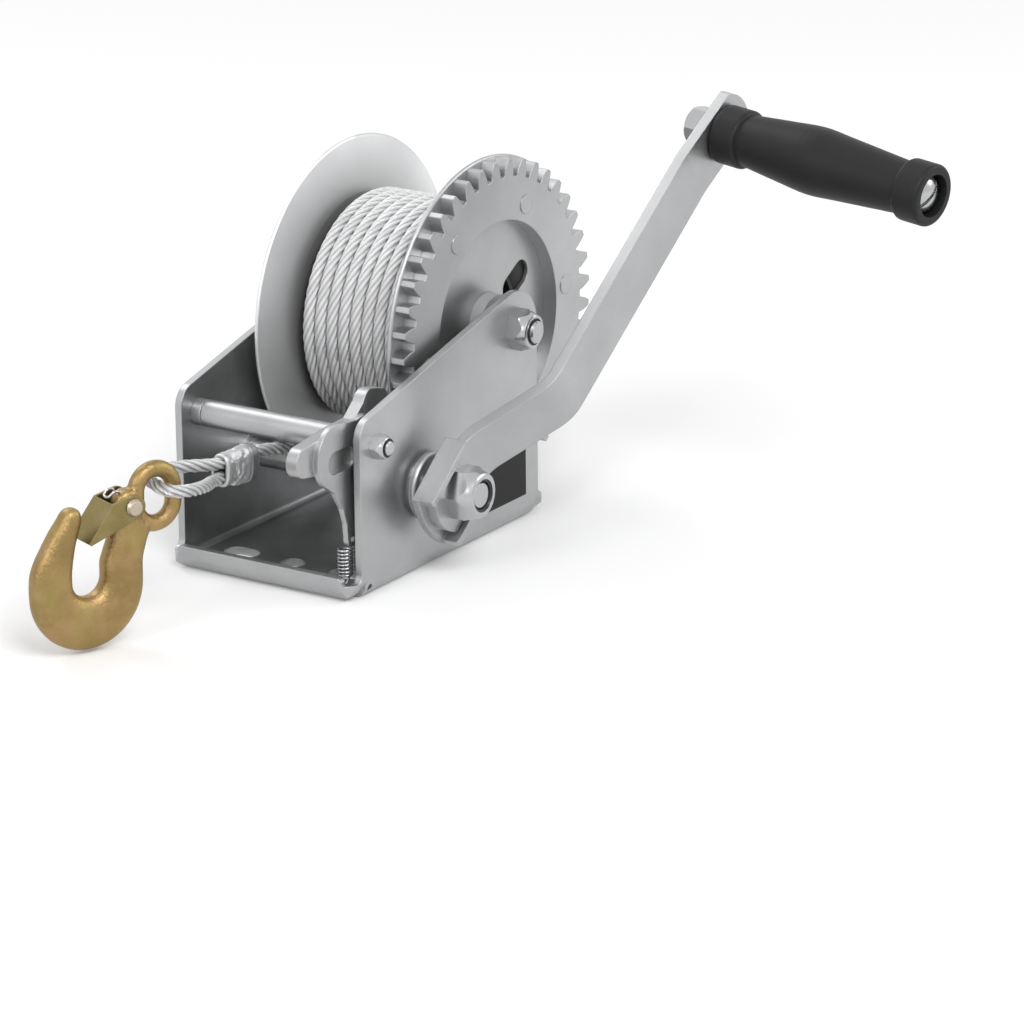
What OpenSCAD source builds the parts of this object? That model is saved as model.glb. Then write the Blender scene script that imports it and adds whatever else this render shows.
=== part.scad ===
// Hand winch for a boat trailer: pressed frame, geared rope drum, crank, ratchet pawl, wire rope and hook

/* [Frame] */
// Length of the side plates
plate_len = 110; // [108:1:114]
// Outer width across the side plates
frame_w = 77.5; // [76.5:0.5:80]
// Thickness of the frame's sheet steel
sheet_t = 2.75; // [2.5:0.05:3]
// How far the base runs past the side plates, at the front and at the rear
base_overhang = 7; // [6:0.5:8.5]
// Height of the bent-up lips of the base
lip_h = 9; // [8:0.5:10]
// Width of the round hole and of the slots in the base
base_hole_d = 9; // [8:0.5:10]
// Length of the slots in the base
base_slot_len = 13.5; // [12:0.5:15]
// Distance between the two slots of a row
slot_spacing = 43.5; // [42:0.5:44]

/* [Drum and gears] */
// Radius of the drum flanges
flange_r = 60; // [59.5:0.25:61]
// Teeth of the ring gear
gear_teeth = 41; // [41]
// Teeth of the pinion
pinion_teeth = 10; // [10]
// Thickness of the ring gear
gear_t = 5.4; // [4.8:0.2:5.8]
// Diameter of the wire rope
rope_d = 4.5; // [4.3:0.1:4.5]

/* [Crank] */
// Angle of the crank arm above the horizontal
crank_angle = 38.9; // [30:0.1:60]
// Width of the crank arm's flat bar
arm_w = 20.5; // [19.5:0.5:21.5]
// Thickness of the crank arm's flat bar
arm_t = 4; // [3.5:0.25:4.5]
// Length of the grip
grip_len = 90.5; // [85:0.5:100]
// Radius of the grip's end collar
grip_collar_r = 11.1; // [10.7:0.1:12]

/* [Hook] */
// Inner radius of the ends of the hook's long eye
eye_in_r = 4.3; // [4.2:0.1:4.6]
// Thickness of the hook's forging
hook_t = 10; // [9.5:0.25:10.5]
// Angle by which the hook is turned from the winch's length
hook_turn = 22; // [16:1:28]

/* [Hidden] */
$fn = 64;

// General fits
run_gap = 0.05;
slide_gap = 0.1;
eps = 0.01;
// How far a cut runs past the face that it opens
past = 1;
// Play at the sides of pieces that turn
side_gap = 0.4;

// Frame, with the outer face of each side plate at half the width
half_w = frame_w / 2;
inner_w = half_w - sheet_t;
half_len = plate_len / 2;
bend_r = 5;
lip_bend_r = 7;
front_corner_r = 7.5;
front_corner_z = 56.4;
relief_r = 1.3;
relief_x = 4.7 - half_len;
relief_z = 3.4;
lip_x = half_len + base_overhang;
lip_top_r = 2.5;
tray_corner_r = 7.5;
nose_r = 8.5;
nose_start = 2;
foot_z = 6.2;
foot_fillet_r = 3;
foot_inset = 1.5;
// Rounding circles stand this much past the faces that they meet, so that they cross them
crossing = 0.3;
hole_row_x = half_len - 13.5;
spring_hole_r = 1.2;

// Axes that cross the frame, as x and z
axle_x = half_len - 13.4;
axle_z = 72.3;
apex_r = half_len - axle_x;
spacer_x = 9.7 - half_len;
spacer_z = 53;

// Gears: the shaft sits at the working centre distance of the pair
gear_module = 2.75;
pressure = 20;
pinion_shift = 0.4;
centre_dist = 71.3;
shaft_z = 31.2;
shaft_x = axle_x - sqrt(centre_dist * centre_dist - (axle_z - shaft_z) * (axle_z - shaft_z));
gear_angle = 2.8;
tooth_thin = 0.14;
flank_steps = 5;
root_spread = 0.2;
gear_tip_r = gear_module * (gear_teeth / 2 + 1);
gear_root_r = gear_module * (gear_teeth / 2 - 1.25);
pinion_tip_r = gear_module * (pinion_teeth / 2 + 1 + pinion_shift) - 0.2;
pinion_root_r = gear_module * (pinion_teeth / 2 - 1.25 + pinion_shift);

// Drum, along Y from the near flange to the far one
flange_t = 1.6;
near_y = 11.4 - inner_w;
gear_y = near_y - flange_t;
gear_out_y = gear_y - gear_t;
far_y = inner_w - 8.6;
far_rim_y = far_y + 2.2;
hub_r = 11;
hub_near_y = 5.2 - inner_w;
hub_far_y = inner_w - 2.6;
barrel_r = 21;
barrel_t = 1.5;
gear_in_r = 37.5;
rivet_count = 6;
rivet_ring_r = 43.8;
rivet_phase = 5.5;
rivet_head_r = 3.5;
rivet_head_h = 0.3;
rivet_r = 2.1;
rope_slot_angle = 30;
rope_slot_in = 18;
rope_slot_out = 26;
rope_slot_r = 4.6;
sleeve_r = 6;

// Rope on the drum: plain core and one wound layer round it
rope_r = rope_d / 2;
wind_r = 39.75;
wind_pitch = 4.95;
wind_start_y = far_y - 3.1;
wind_end_y = near_y + 2.9;
wind_turns = (wind_start_y - wind_end_y) / wind_pitch;
wind_sides = 6;
wind_rings = 24;
core_gap = 0.35;
core_r = wind_r - rope_r - core_gap;

// Bolts, nuts and the nylon rings in the lock nuts
axle_r = 4;
axle_end_y = -half_w - 9.4;
m8_flat = 13;
m8_nut_h = 8;
m8_head_h = 5.3;
spacer_bolt_r = 2.5;
m5_flat = 8;
m5_nut_h = 5;
m5_head_h = 3.5;
spacer_r = 4.75;
shaft_r = 5;
m10_flat = 17;
m10_nut_h = 10;
insert_t = 1.2;
axle_nut_turn = 10;
crank_nut_turn = 20;
grip_nut_turn = 15;

// Pawl on the spacer bolt, next to the near plate
pawl_in_y = 8.8 - inner_w;
pawl_mid_y = pawl_in_y - 4.5;
pawl_out_y = pawl_mid_y - 2;
pawl_bush_r = 4;
pawl_swing = 16;
// Each nose ends just outside the pinion's tips, to either side of the line from the pivot to the shaft
nose_spread = 28;
nose_gap = 0.6;
to_shaft = [shaft_x - spacer_x, shaft_z - spacer_z];
pivot_dist = norm(to_shaft);
pivot_angle = atan2(to_shaft[1], to_shaft[0]);
tip_clear_r = pinion_tip_r + nose_gap;
nose_aside = pivot_dist * sin(nose_spread);
nose_reach = pivot_dist * cos(nose_spread) - sqrt(tip_clear_r * tip_clear_r - nose_aside * nose_aside);
nose_low = pivot_angle - nose_spread;
nose_high = pivot_angle + nose_spread + pawl_swing;
// Places on the pawl, from its pivot
ear = [-31.4, 1.2];
ear_r = 5.3;
cheek = [-15.7, -0.5];
cheek_r = 11.5;
tail = [-7.7, -32.2];
tail_x = spacer_x + tail[0];
tail_hole_r = 1.1;

// Pawl spring between the tail and the base
spring_wire_r = 0.4;
spring_r = 2.6;
spring_pitch = 1.28;
spring_turns = 8;
spring_low_z = 7;
spring_y = 5.6 - inner_w;

// Crank parts along Y, outside the near plate
collar_r = 12.2;
collar_foot_r = 10.2;
collar_out_y = -half_w - 4.2;
bush_r = 7;
web_in_y = -half_w - 8;
bracket_t = 2.5;
arm_in_y = web_in_y - bracket_t;
arm_out_y = arm_in_y - arm_t;
lip_out_y = web_in_y - 8.6;
bracket_half_l = 14.2;
bracket_top_l = 12.5;
bracket_corner_r = 1.8;
bracket_half_w = arm_w / 2 + side_gap + bracket_t;
bracket_bulge_r = 33;
shaft_end_y = -half_w - 23.6;
shaft_far_y = half_w + 6;
flat_half = 4;

// Crank arm's bends: straight lengths and angles from the shaft to the grip
bend_mid_r = 16;
bend_out = 38;
bend_back = -35.2;
bend_end = 5.2;
bend_facets = 12;
arm_corner_1 = 16;
arm_slant_len = 35;
arm_main_len = 100.8;
arm_end_len = 19.2;
arm_end_r = arm_w / 2 + 4;

// Grip, along its own axis from the arm's outer face
grip_start = 0.5;
grip_bore_r = 4.1;
grip_pit_r = 7.7;
grip_pit_depth = 5;
grip_collar_len = 11;
grip_base_r = grip_collar_r - 0.5;
grip_waist_r = grip_collar_r - 1.8;
grip_belly_r = grip_collar_r + 1.1;
screw_head_r = 6.2;
screw_head_h = 4;
screw_dome_r = 10;
screw_slot_w = 1.6;
screw_slot_depth = 2.2;
grip_nut_h = 9;
bolt_past_nut = 1.5;

// Hook: its eye's centre and the shape in its own plane
eye_x = -118;
eye_z = 49.2;
eye_ring_r = 2.9;
eye_rise = 2.3;
eye_hx = -0.9;
eye_mid_r = eye_in_r + eye_ring_r;
bowl_x = -28.2;
bowl_z = -23.7;
bowl_in_r = 6;
bowl_depth = 15.1;
bowl_drop = 3.4;
bowl_mid_r = bowl_in_r + bowl_depth / 2;
rivet_hx = -12.4;
rivet_hz = -0.3;
latch_rivet_r = 2;
latch_t = 1;
latch_play = 0.3;
latch_half_w = hook_t / 2 + latch_play + latch_t;

// Hand-chosen route of the free rope, from under the drum to the loop in the eye and back to the ferrule
rope_route = [[58, 0, 31], [50, 0, 28.7], [41.5, 0, 27.8], [32, 0, 28.8], [8, 0, 34], [-16, 0, 39.2],
    [-40, 0, 44.4], [-50, 0, 46.6], [-58, 0, 48.3], [-70, 0, 49.3], [-82, 0, 50.2], [-88, 1.6, 51],
    [-95, 5, 52], [-103, 8, 52.7], [-109.5, 9, 53.3], [-114.5, 7.6, 53.7], [-116.6, 3.6, 53.2],
    [-118, 0, 52.8], [-119.4, -3.6, 52.4], [-118.4, -8.2, 52], [-113.6, -10, 51.2], [-106, -8.6, 49.6],
    [-98, -5.8, 47.9], [-90, -2, 46.2], [-82, 0, 45.1], [-75, 0, 44.6], [-68, 0, 44.05]];
rope_sides = 10;
rope_steps = 3;
rope_apart = 12;

// Ferrule round the two strands
ferrule_front_x = -81;
ferrule_back_x = -65.5;
ferrule_z = 47;
ferrule_tilt = 4.6;
ferrule_half_h = 2.5;
ferrule_r = 3.8;

steel = "silver";
zinc = "lightsteelblue";
gold = "goldenrod";

// Plain helpers: cylinders along Y and outlines in X and Z pulled along Y
module y_rod(r, y0, y1, x = 0, z = 0) {
    translate([x, y1, z]) rotate([90, 0, 0]) cylinder(h = y1 - y0, r = r);
}

module y_slab(y0, y1) {
    translate([0, y1, 0]) rotate([90, 0, 0]) linear_extrude(height = y1 - y0) children();
}

module y_hex(flat, y0, y1, x = 0, z = 0, turn = 0) {
    translate([x, y1, z]) rotate([90, 0, 0]) rotate([0, 0, turn])
        cylinder(h = y1 - y0, r = flat / 2 / cos(30), $fn = 6);
}

// Solid of revolution about the Y axis through x, z, from an outline of radius against y
module y_turned(x, z) {
    translate([x, 0, z]) rotate([-90, 0, 0]) rotate_extrude($fn = 96) children();
}

// A turned blank this share of the flats wide stands past the corners of a hexagon
corner_share = 0.6;

module blunt_hex(flat, y0, y1, x, z, turn) {
    corner_r = flat * corner_share;
    bevel_h = flat * 0.096;
    intersection() {
        y_hex(flat, y0, y1, x, z, turn);
        y_turned(x, z) polygon([[0, y0], [flat / 2, y0], [corner_r, y0 + bevel_h], [corner_r, y1], [0, y1]]);
    }
}

// Lock nut: hexagon that ends in a dome with a pocket for the nylon ring, opening to -Y
// Its dome as shares: radius of the flats, and height of the nut from the end
dome = [[0, 0], [0.42, 0], [0.46, 0.04], [0.48, 0.12], [0.54, 0.4], [corner_share, 0.52], [corner_share, 1],
    [0, 1]];
thread_share = 0.68;
insert_lip = 0.5;
insert_shown = 0.7;

module lock_nut(flat, height, bolt_r, y_face, x, z, turn) {
    y_end = y_face - height;
    y_thread = y_face - height * thread_share;
    difference() {
        intersection() {
            y_hex(flat, y_end, y_face, x, z, turn);
            y_turned(x, z) polygon([for (d = dome) [flat * d[0], y_end + height * d[1]]]);
        }
        y_rod(bolt_r + eps, y_end - past, y_face + past, x, z);
        y_rod(bolt_r + insert_t, y_end + insert_lip, y_thread, x, z);
        y_rod(bolt_r + insert_t * insert_shown, y_end - past, y_thread, x, z);
    }
}

module nylon_ring(height, bolt_r, y_face, x, z) {
    y_end = y_face - height;
    y_thread = y_face - height * thread_share;
    difference() {
        y_rod(bolt_r + insert_t - eps, y_end + insert_lip + run_gap, y_thread - eps, x, z);
        y_rod(bolt_r + eps, y_end - past, y_face, x, z);
    }
}

// Swept tubes as closed triangle meshes
function unit(v) = v / norm(v);
function turned(v, k, a) = v * cos(a) + cross(k, v) * sin(a) + k * (k * v) * (1 - cos(a));
function blend_at(p, i, t) =
    let(a = p[max(i - 1, 0)], b = p[i], c = p[i + 1], d = p[min(i + 2, len(p) - 1)])
    0.5 * (2 * b + (c - a) * t + (2 * a - 5 * b + 4 * c - d) * t * t + (3 * b - a - 3 * c + d) * t * t * t);
function smooth(p, steps) = concat(
    [for (i = [0 : len(p) - 2]) for (s = [0 : steps - 1]) blend_at(p, i, s / steps)], [p[len(p) - 1]]);
function tangent(p, i) = unit(p[min(i + 1, len(p) - 1)] - p[max(i - 1, 0)]);
function carried(v, t) = unit(v - t * (t * v));
function frames(p, i, v) = i >= len(p) ? [] :
    let(n = carried(v, tangent(p, i))) concat([n], frames(p, i + 1, n));

module tube(p, r, sides, side_hint = [0, 1, 0.2]) {
    n = frames(p, 0, side_hint);
    count = len(p);
    points = concat(
        [for (i = [0 : count - 1]) for (s = [0 : sides - 1])
            p[i] + r * turned(n[i], tangent(p, i), 360 * s / sides)],
        [p[0], p[count - 1]]);
    walls = [for (i = [0 : count - 2]) for (s = [0 : sides - 1])
        let(a = i * sides + s, b = i * sides + (s + 1) % sides)
        each [[a, a + sides, b], [b, a + sides, b + sides]]];
    first_cap = [for (s = [0 : sides - 1]) [count * sides, s, (s + 1) % sides]];
    last_cap = [for (s = [0 : sides - 1])
        [count * sides + 1, (count - 1) * sides + (s + 1) % sides, (count - 1) * sides + s]];
    polyhedron(points = points, faces = concat(walls, first_cap, last_cap));
}

// Least gap between points of a tube that lie more than a given number of rings apart
function least_gap(p, r, apart) = min([for (i = [0 : len(p) - 1 - apart]) for (j = [i + apart : len(p) - 1])
    norm(p[i] - p[j])]) - 2 * r;

// Involute gear outline, with teeth thinned for backlash
function inv(a) = tan(a) * 180 / PI - a;
function gear_outline(teeth, shift, tip_r, root_r, turn) =
    let(pitch_r = gear_module * teeth / 2, base_r = pitch_r * cos(pressure),
        thicker = 2 * shift * tan(pressure) / teeth - tooth_thin / 2 / pitch_r,
        half = 90 / teeth + thicker * 180 / PI + inv(pressure),
        low_r = max(base_r, root_r),
        flank = [for (i = [0 : flank_steps])
            let(r = low_r + (tip_r - low_r) * i / flank_steps) [r, half - inv(acos(min(1, base_r / r)))]])
    [for (k = [0 : teeth - 1]) let(mid = turn + 360 * k / teeth)
        each concat([[root_r, mid - half - root_spread]], [for (f = flank) [f[0], mid - f[1]]],
            [for (i = [flank_steps : -1 : 0]) [flank[i][0], mid + flank[i][1]]],
            [[root_r, mid + half + root_spread]])];
function polar(list) = [for (q = list) [q[0] * cos(q[1]), q[0] * sin(q[1])]];

// Frame
function top_normal(a, b, ra, rb) =
    let(d = b - a) atan2(d[1], d[0]) + acos((ra - rb) / norm(d));

module plate_outline() {
    corner = [front_corner_r - half_len, front_corner_z];
    apex = [axle_x, axle_z];
    n = top_normal(corner, apex, front_corner_r, apex_r);
    dir = [cos(n), sin(n)];
    polygon([[-half_len, -past], [half_len, -past], [half_len, axle_z], apex + apex_r * dir,
        corner + front_corner_r * dir, [-half_len, front_corner_z]]);
    translate(corner) circle(r = front_corner_r);
    translate(apex) circle(r = apex_r);
}

module channel_outline(width, corner_r, floor_z, top_z) {
    low_w = width - 2 * corner_r;
    reach = corner_r + past;
    translate([-width / 2, floor_z + corner_r]) square([width, top_z - floor_z - corner_r]);
    translate([-low_w / 2, floor_z]) square([low_w, top_z - floor_z]);
    for (s = [-1, 1])
        translate([s * low_w / 2, floor_z + corner_r]) intersection() {
            circle(r = corner_r);
            translate([-reach, -reach]) square([2 * reach, reach + past]);
        }
}

module along_x() {
    rotate([90, 0, 90]) linear_extrude(height = 2 * (lip_x + past), center = true) children();
}

// What is left of a square when a circle about its first corner is taken away
module corner_waste(r) {
    difference() {
        square(r + 2 * past);
        circle(r = r + crossing);
    }
}

// Cuts at one corner of the base: round in plan and from the front, low beside the plate, and round at the
// lip's top
module tray_corner_cut() {
    inner_y = inner_w - foot_inset;
    translate([lip_x - tray_corner_r, half_w - tray_corner_r, -past])
        linear_extrude(height = lip_h + 2 * past) corner_waste(tray_corner_r);
    y_slab(inner_y, half_w + past) translate([half_len, foot_z]) {
        translate([0, foot_fillet_r]) square([base_overhang + past, lip_h]);
        translate([foot_fillet_r, 0]) square([base_overhang + past - foot_fillet_r, lip_h]);
        translate([foot_fillet_r, foot_fillet_r]) circle(r = foot_fillet_r);
    }
    translate([half_len + past, inner_y - lip_top_r, lip_h - lip_top_r]) rotate([90, 0, 90])
        linear_extrude(height = base_overhang) corner_waste(lip_top_r);
    translate([half_len - nose_start, half_w - nose_r, nose_r]) rotate([90, 0, 90])
        linear_extrude(height = base_overhang + nose_start + past) mirror([0, 1]) corner_waste(nose_r);
}

module base_slot(x, y) {
    reach = (base_slot_len - base_hole_d) / 2;
    for (s = [-1, 1])
        translate([x, y + s * reach, -past]) cylinder(h = sheet_t + 2 * past, d = base_hole_d);
    translate([x - base_hole_d / 2, y - reach, -past]) cube([base_hole_d, 2 * reach, sheet_t + 2 * past]);
}

module frame() {
    tall = 120;
    color(zinc) difference() {
        intersection() {
            along_x() channel_outline(frame_w, bend_r, 0, tall);
            y_slab(-half_w - past, half_w + past) {
                plate_outline();
                channel_outline(2 * lip_x, lip_bend_r, -crossing, lip_h);
            }
        }
        intersection() {
            along_x() channel_outline(2 * inner_w, bend_r - sheet_t, sheet_t, tall);
            y_slab(-half_w, half_w)
                channel_outline(2 * (lip_x - sheet_t), lip_bend_r - sheet_t, sheet_t - crossing, tall);
        }
        for (mx = [0, 1]) for (my = [0, 1])
            mirror([mx, 0, 0]) mirror([0, my, 0]) tray_corner_cut();
        for (s = [-1, 1]) {
            base_slot(s * hole_row_x, slot_spacing / 2);
            base_slot(s * hole_row_x, -slot_spacing / 2);
            translate([s * hole_row_x, 0, -past]) cylinder(h = sheet_t + 2 * past, d = base_hole_d);
        }
        y_rod(relief_r, -half_w - past, -inner_w + past, relief_x, relief_z);
        y_rod(relief_r, inner_w - past, half_w + past, relief_x, relief_z);
        y_rod(axle_r + run_gap, -half_w - past, half_w + past, axle_x, axle_z);
        y_rod(spacer_bolt_r + run_gap, -half_w - past, half_w + past, spacer_x, spacer_z);
        y_rod(bush_r + eps, -half_w - past, half_w + past, shaft_x, shaft_z);
        translate([tail_x, spring_y, -past]) cylinder(h = sheet_t + 2 * past, r = spring_hole_r);
    }
}

// Blank sticker on the near plate
module label_plate() {
    label_x = half_len - 43.6;
    label_z = 9.6;
    label_w = 35.6;
    label_h = 26.4;
    label_t = 0.2;
    color("black") translate([label_x, -half_w - label_t, label_z]) cube([label_w, label_t, label_h]);
}

// Bolt shank with a bevelled end towards -Y, and a bolt head on the far plate
module shank(r, y_end, y_top, x, z) {
    bevel_share = 0.15;
    bevel = r * bevel_share;
    y_turned(x, z) polygon([[0, y_end], [r - bevel, y_end], [r, y_end + bevel], [r, y_top], [0, y_top]]);
}

module far_head(flat, height, x, z, turn) {
    mirror([0, 1, 0]) blunt_hex(flat, -half_w - height, -half_w, x, z, turn);
}

// Drum axle
module axle_bolt() {
    color(steel) {
        shank(axle_r, axle_end_y, half_w + past, axle_x, axle_z);
        far_head(m8_flat, m8_head_h, axle_x, axle_z, 0);
    }
}

module axle_nut() {
    color(steel) lock_nut(m8_flat, m8_nut_h, axle_r, -half_w, axle_x, axle_z, axle_nut_turn);
}

module axle_sleeve() {
    color(steel) difference() {
        y_rod(sleeve_r, -inner_w, inner_w, axle_x, axle_z);
        y_rod(axle_r + slide_gap, -half_w, half_w, axle_x, axle_z);
    }
}

module drum_spacers() {
    spacer_r_out = 8.5;
    drum_play = 0.3;
    color("dimgray") difference() {
        union() {
            y_rod(spacer_r_out, -inner_w, hub_near_y - drum_play, axle_x, axle_z);
            y_rod(spacer_r_out, hub_far_y + drum_play, inner_w, axle_x, axle_z);
        }
        y_rod(sleeve_r + slide_gap, -half_w, half_w, axle_x, axle_z);
    }
}

// Spacer tube across the front, with the collar at its far end
spacer_collar_len = 4;
spacer_joint_y = inner_w - spacer_collar_len;

module spacer_ring(y0, y1) {
    difference() {
        y_rod(spacer_r, y0, y1, spacer_x, spacer_z);
        y_rod(spacer_bolt_r + slide_gap, y0 - past, y1 + past, spacer_x, spacer_z);
    }
}

module spacer_tube() {
    color(zinc) spacer_ring(pawl_in_y + side_gap, spacer_joint_y - side_gap / 2);
}

module spacer_collar() {
    color(zinc) spacer_ring(spacer_joint_y, inner_w);
}

module spacer_bolt() {
    color(steel) {
        shank(spacer_bolt_r, -half_w - m5_nut_h - past, half_w + past, spacer_x, spacer_z);
        far_head(m5_flat, m5_head_h, spacer_x, spacer_z, 0);
    }
}

module spacer_nut() {
    color(steel) lock_nut(m5_flat, m5_nut_h, spacer_bolt_r, -half_w, spacer_x, spacer_z, 0);
}

module frame_nut_inserts() {
    color("dimgray") {
        nylon_ring(m8_nut_h, axle_r, -half_w, axle_x, axle_z);
        nylon_ring(m5_nut_h, spacer_bolt_r, -half_w, spacer_x, spacer_z);
    }
}

module pawl_bush() {
    color(steel) difference() {
        union() {
            y_rod(pawl_bush_r, -inner_w, pawl_in_y + side_gap, spacer_x, spacer_z);
            y_rod(spacer_r, -inner_w, pawl_out_y - side_gap, spacer_x, spacer_z);
        }
        y_rod(spacer_bolt_r + slide_gap, -half_w, 0, spacer_x, spacer_z);
    }
}

// Spring from the pawl's tail down to the base, one unbroken wire
spring_rings = 8;
spring_sides = 6;
spring_foot = [[0, 0, 1], [0, 0, 3.4], [1.3, -0.3, 5.4]];
spring_head = [[1.4, -0.1, 1.5], [0, 0, 2.6]];
function spring_point(i) =
    let(a = 360 * i / spring_rings)
    [spring_r * cos(a), spring_r * sin(a), spring_low_z + spring_pitch * i / spring_rings];
spring_top = [0, 0, spring_low_z + spring_pitch * spring_turns];
spring_line = concat(spring_foot, [for (i = [0 : spring_turns * spring_rings]) spring_point(i)],
    [for (p = spring_head) p + spring_top]);
spring_path = [for (p = spring_line) p + [tail_x, spring_y, 0]];
echo(spring_gap = least_gap(spring_path, spring_wire_r, spring_rings - 2));

module pawl_spring() {
    color(steel) tube(spring_path, spring_wire_r, spring_sides, [1, 0, 0]);
}

// Bushes of the drive shaft
bush_in_len = 2.6;

module near_shaft_bush() {
    rim_r = 1.3;
    foot_h = 0.7;
    flare_in = 0.2;
    cup_r = collar_r - 2.6;
    cup_depth = 2.4;
    color(steel) difference() {
        union() {
            y_rod(bush_r, collar_out_y + foot_h, -inner_w + bush_in_len, shaft_x, shaft_z);
            y_turned(shaft_x, shaft_z) {
                polygon([[0, -half_w], [collar_foot_r, -half_w], [collar_foot_r, -half_w - foot_h],
                    [collar_r - flare_in, collar_out_y + 2 * rim_r], [collar_r - rim_r, collar_out_y],
                    [0, collar_out_y]]);
                translate([collar_r - rim_r, collar_out_y + rim_r]) circle(r = rim_r);
            }
        }
        y_rod(shaft_r + run_gap, collar_out_y - past, 0, shaft_x, shaft_z);
        y_rod(cup_r, collar_out_y - past, collar_out_y + cup_depth, shaft_x, shaft_z);
    }
}

module far_shaft_bush() {
    rim_w = 2;
    rim_t = 2;
    color(steel) difference() {
        union() {
            y_rod(bush_r, inner_w - bush_in_len, half_w + rim_t / 2, shaft_x, shaft_z);
            y_rod(bush_r + rim_w, half_w, half_w + rim_t, shaft_x, shaft_z);
        }
        y_rod(shaft_r + run_gap, 0, half_w + rim_t + past, shaft_x, shaft_z);
    }
}

// Drum
module drum_hub() {
    color(zinc) difference() {
        y_rod(hub_r, hub_near_y, hub_far_y, axle_x, axle_z);
        y_rod(sleeve_r + run_gap, -half_w, half_w, axle_x, axle_z);
    }
}

module drum_barrel() {
    color(zinc) difference() {
        y_rod(barrel_r, near_y, far_y, axle_x, axle_z);
        y_rod(barrel_r - barrel_t, near_y - past, far_y + past, axle_x, axle_z);
    }
}

module rope_slot() {
    translate([axle_x, 0, axle_z]) rotate([0, -rope_slot_angle, 0]) y_slab(gear_y - past, near_y + past) {
        translate([rope_slot_in, 0]) circle(r = rope_slot_r);
        translate([rope_slot_out, 0]) circle(r = rope_slot_r);
        translate([rope_slot_in, -rope_slot_r]) square([rope_slot_out - rope_slot_in, 2 * rope_slot_r]);
    }
}

module on_rivet_ring() {
    for (k = [0 : rivet_count - 1])
        translate([axle_x, 0, axle_z]) rotate([0, -rivet_phase - 360 / rivet_count * k, 0])
            translate([rivet_ring_r, 0, 0]) children();
}

module near_flange() {
    rim_r = flange_t / 2;
    color(zinc) difference() {
        y_turned(axle_x, axle_z) {
            translate([hub_r + eps, gear_y]) square([flange_r - rim_r - hub_r, flange_t]);
            translate([flange_r - rim_r, gear_y + rim_r]) circle(r = rim_r);
        }
        rope_slot();
        on_rivet_ring() y_rod(rivet_r + eps, gear_y - past, near_y + past);
        on_clamp_screws() y_rod(clamp_screw_r + eps, gear_y - past, near_y + past);
    }
}

module far_flange() {
    rim_r = flange_t / 2;
    flat_r = 40;
    color(zinc) y_turned(axle_x, axle_z) {
        polygon([[hub_r + eps, far_y], [flat_r, far_y], [flange_r - rim_r, far_rim_y],
            [flange_r - rim_r, far_rim_y + flange_t], [flat_r, far_y + flange_t],
            [hub_r + eps, far_y + flange_t]]);
        translate([flange_r - rim_r, far_rim_y + rim_r]) circle(r = rim_r);
    }
}

module drum_gear() {
    color(steel) difference() {
        translate([axle_x, 0, axle_z]) y_slab(gear_out_y, gear_y)
            polygon(polar(gear_outline(gear_teeth, 0, gear_tip_r, gear_root_r, gear_angle)));
        y_rod(gear_in_r, gear_out_y - past, gear_y + past, axle_x, axle_z);
        on_rivet_ring() y_rod(rivet_r + eps, gear_out_y - past, gear_y + past);
    }
}

module gear_rivets() {
    color(steel) on_rivet_ring() {
        y_rod(rivet_r, gear_out_y - eps, near_y);
        y_rod(rivet_head_r, gear_out_y - rivet_head_h, gear_out_y);
    }
}

// Rope on the drum
module rope_core() {
    end_gap = 0.2;
    color("lightgray") difference() {
        y_rod(core_r, near_y + end_gap, far_y - end_gap, axle_x, axle_z);
        y_rod(barrel_r + eps, near_y - past, far_y + past, axle_x, axle_z);
    }
}

wind_steps = floor(wind_turns * wind_rings);
function wind_point(i) =
    let(a = -360 * i / wind_rings, y = wind_start_y - wind_pitch * i / wind_rings)
    [axle_x + wind_r * cos(a), y, axle_z + wind_r * sin(a)];
function run_on(a, b) = b + unit(b - a) * rope_d;
wind_body = [for (i = [0 : wind_steps]) wind_point(i)];
wind_path = concat([run_on(wind_point(1), wind_point(0))], wind_body,
    [run_on(wind_point(wind_steps - 1), wind_point(wind_steps))]);
echo(winding_gap = least_gap(wind_path, rope_r, wind_rings / 2));

module rope_winding() {
    color("gainsboro") tube(wind_path, rope_r, wind_sides, [1, 0, 0]);
}

// Clamp that holds the rope's inner end on the near flange, inside the ring gear
clamp_angle = 212;
clamp_ring_r = 27;
clamp_half = 6;
clamp_t = 2.4;
clamp_screw_r = 1.5;

module at_clamp() {
    translate([axle_x, 0, axle_z]) rotate([0, -clamp_angle, 0]) translate([clamp_ring_r, 0, 0]) children();
}

module on_clamp_screws() {
    at_clamp() for (s = [-1, 1]) translate([0, 0, s * clamp_half]) children();
}

module rope_clamp() {
    ear_out_r = 3.6;
    color(steel) difference() {
        at_clamp() union() {
            y_slab(gear_y - clamp_t, gear_y) {
                for (s = [-1, 1]) translate([0, s * clamp_half]) circle(r = ear_out_r);
                translate([-ear_out_r, -clamp_half]) square([2 * ear_out_r, 2 * clamp_half]);
            }
        }
        on_clamp_screws() y_rod(clamp_screw_r + eps, gear_y - 2 * clamp_t, gear_y + past);
    }
}

module clamp_screws() {
    head_r = 2.6;
    head_h = 1.6;
    color(steel) on_clamp_screws() {
        y_rod(clamp_screw_r, gear_y - clamp_t - eps, near_y);
        y_rod(head_r, gear_y - clamp_t - head_h, gear_y - clamp_t);
    }
}

// Free rope and the ferrule that closes its loop
rope_path = smooth(rope_route, rope_steps);
echo(rope_gap = least_gap(rope_path, rope_r, rope_apart), rope_rings = len(rope_path));

module rope_free() {
    color("gainsboro") tube(rope_path, rope_r, rope_sides);
}

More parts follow.
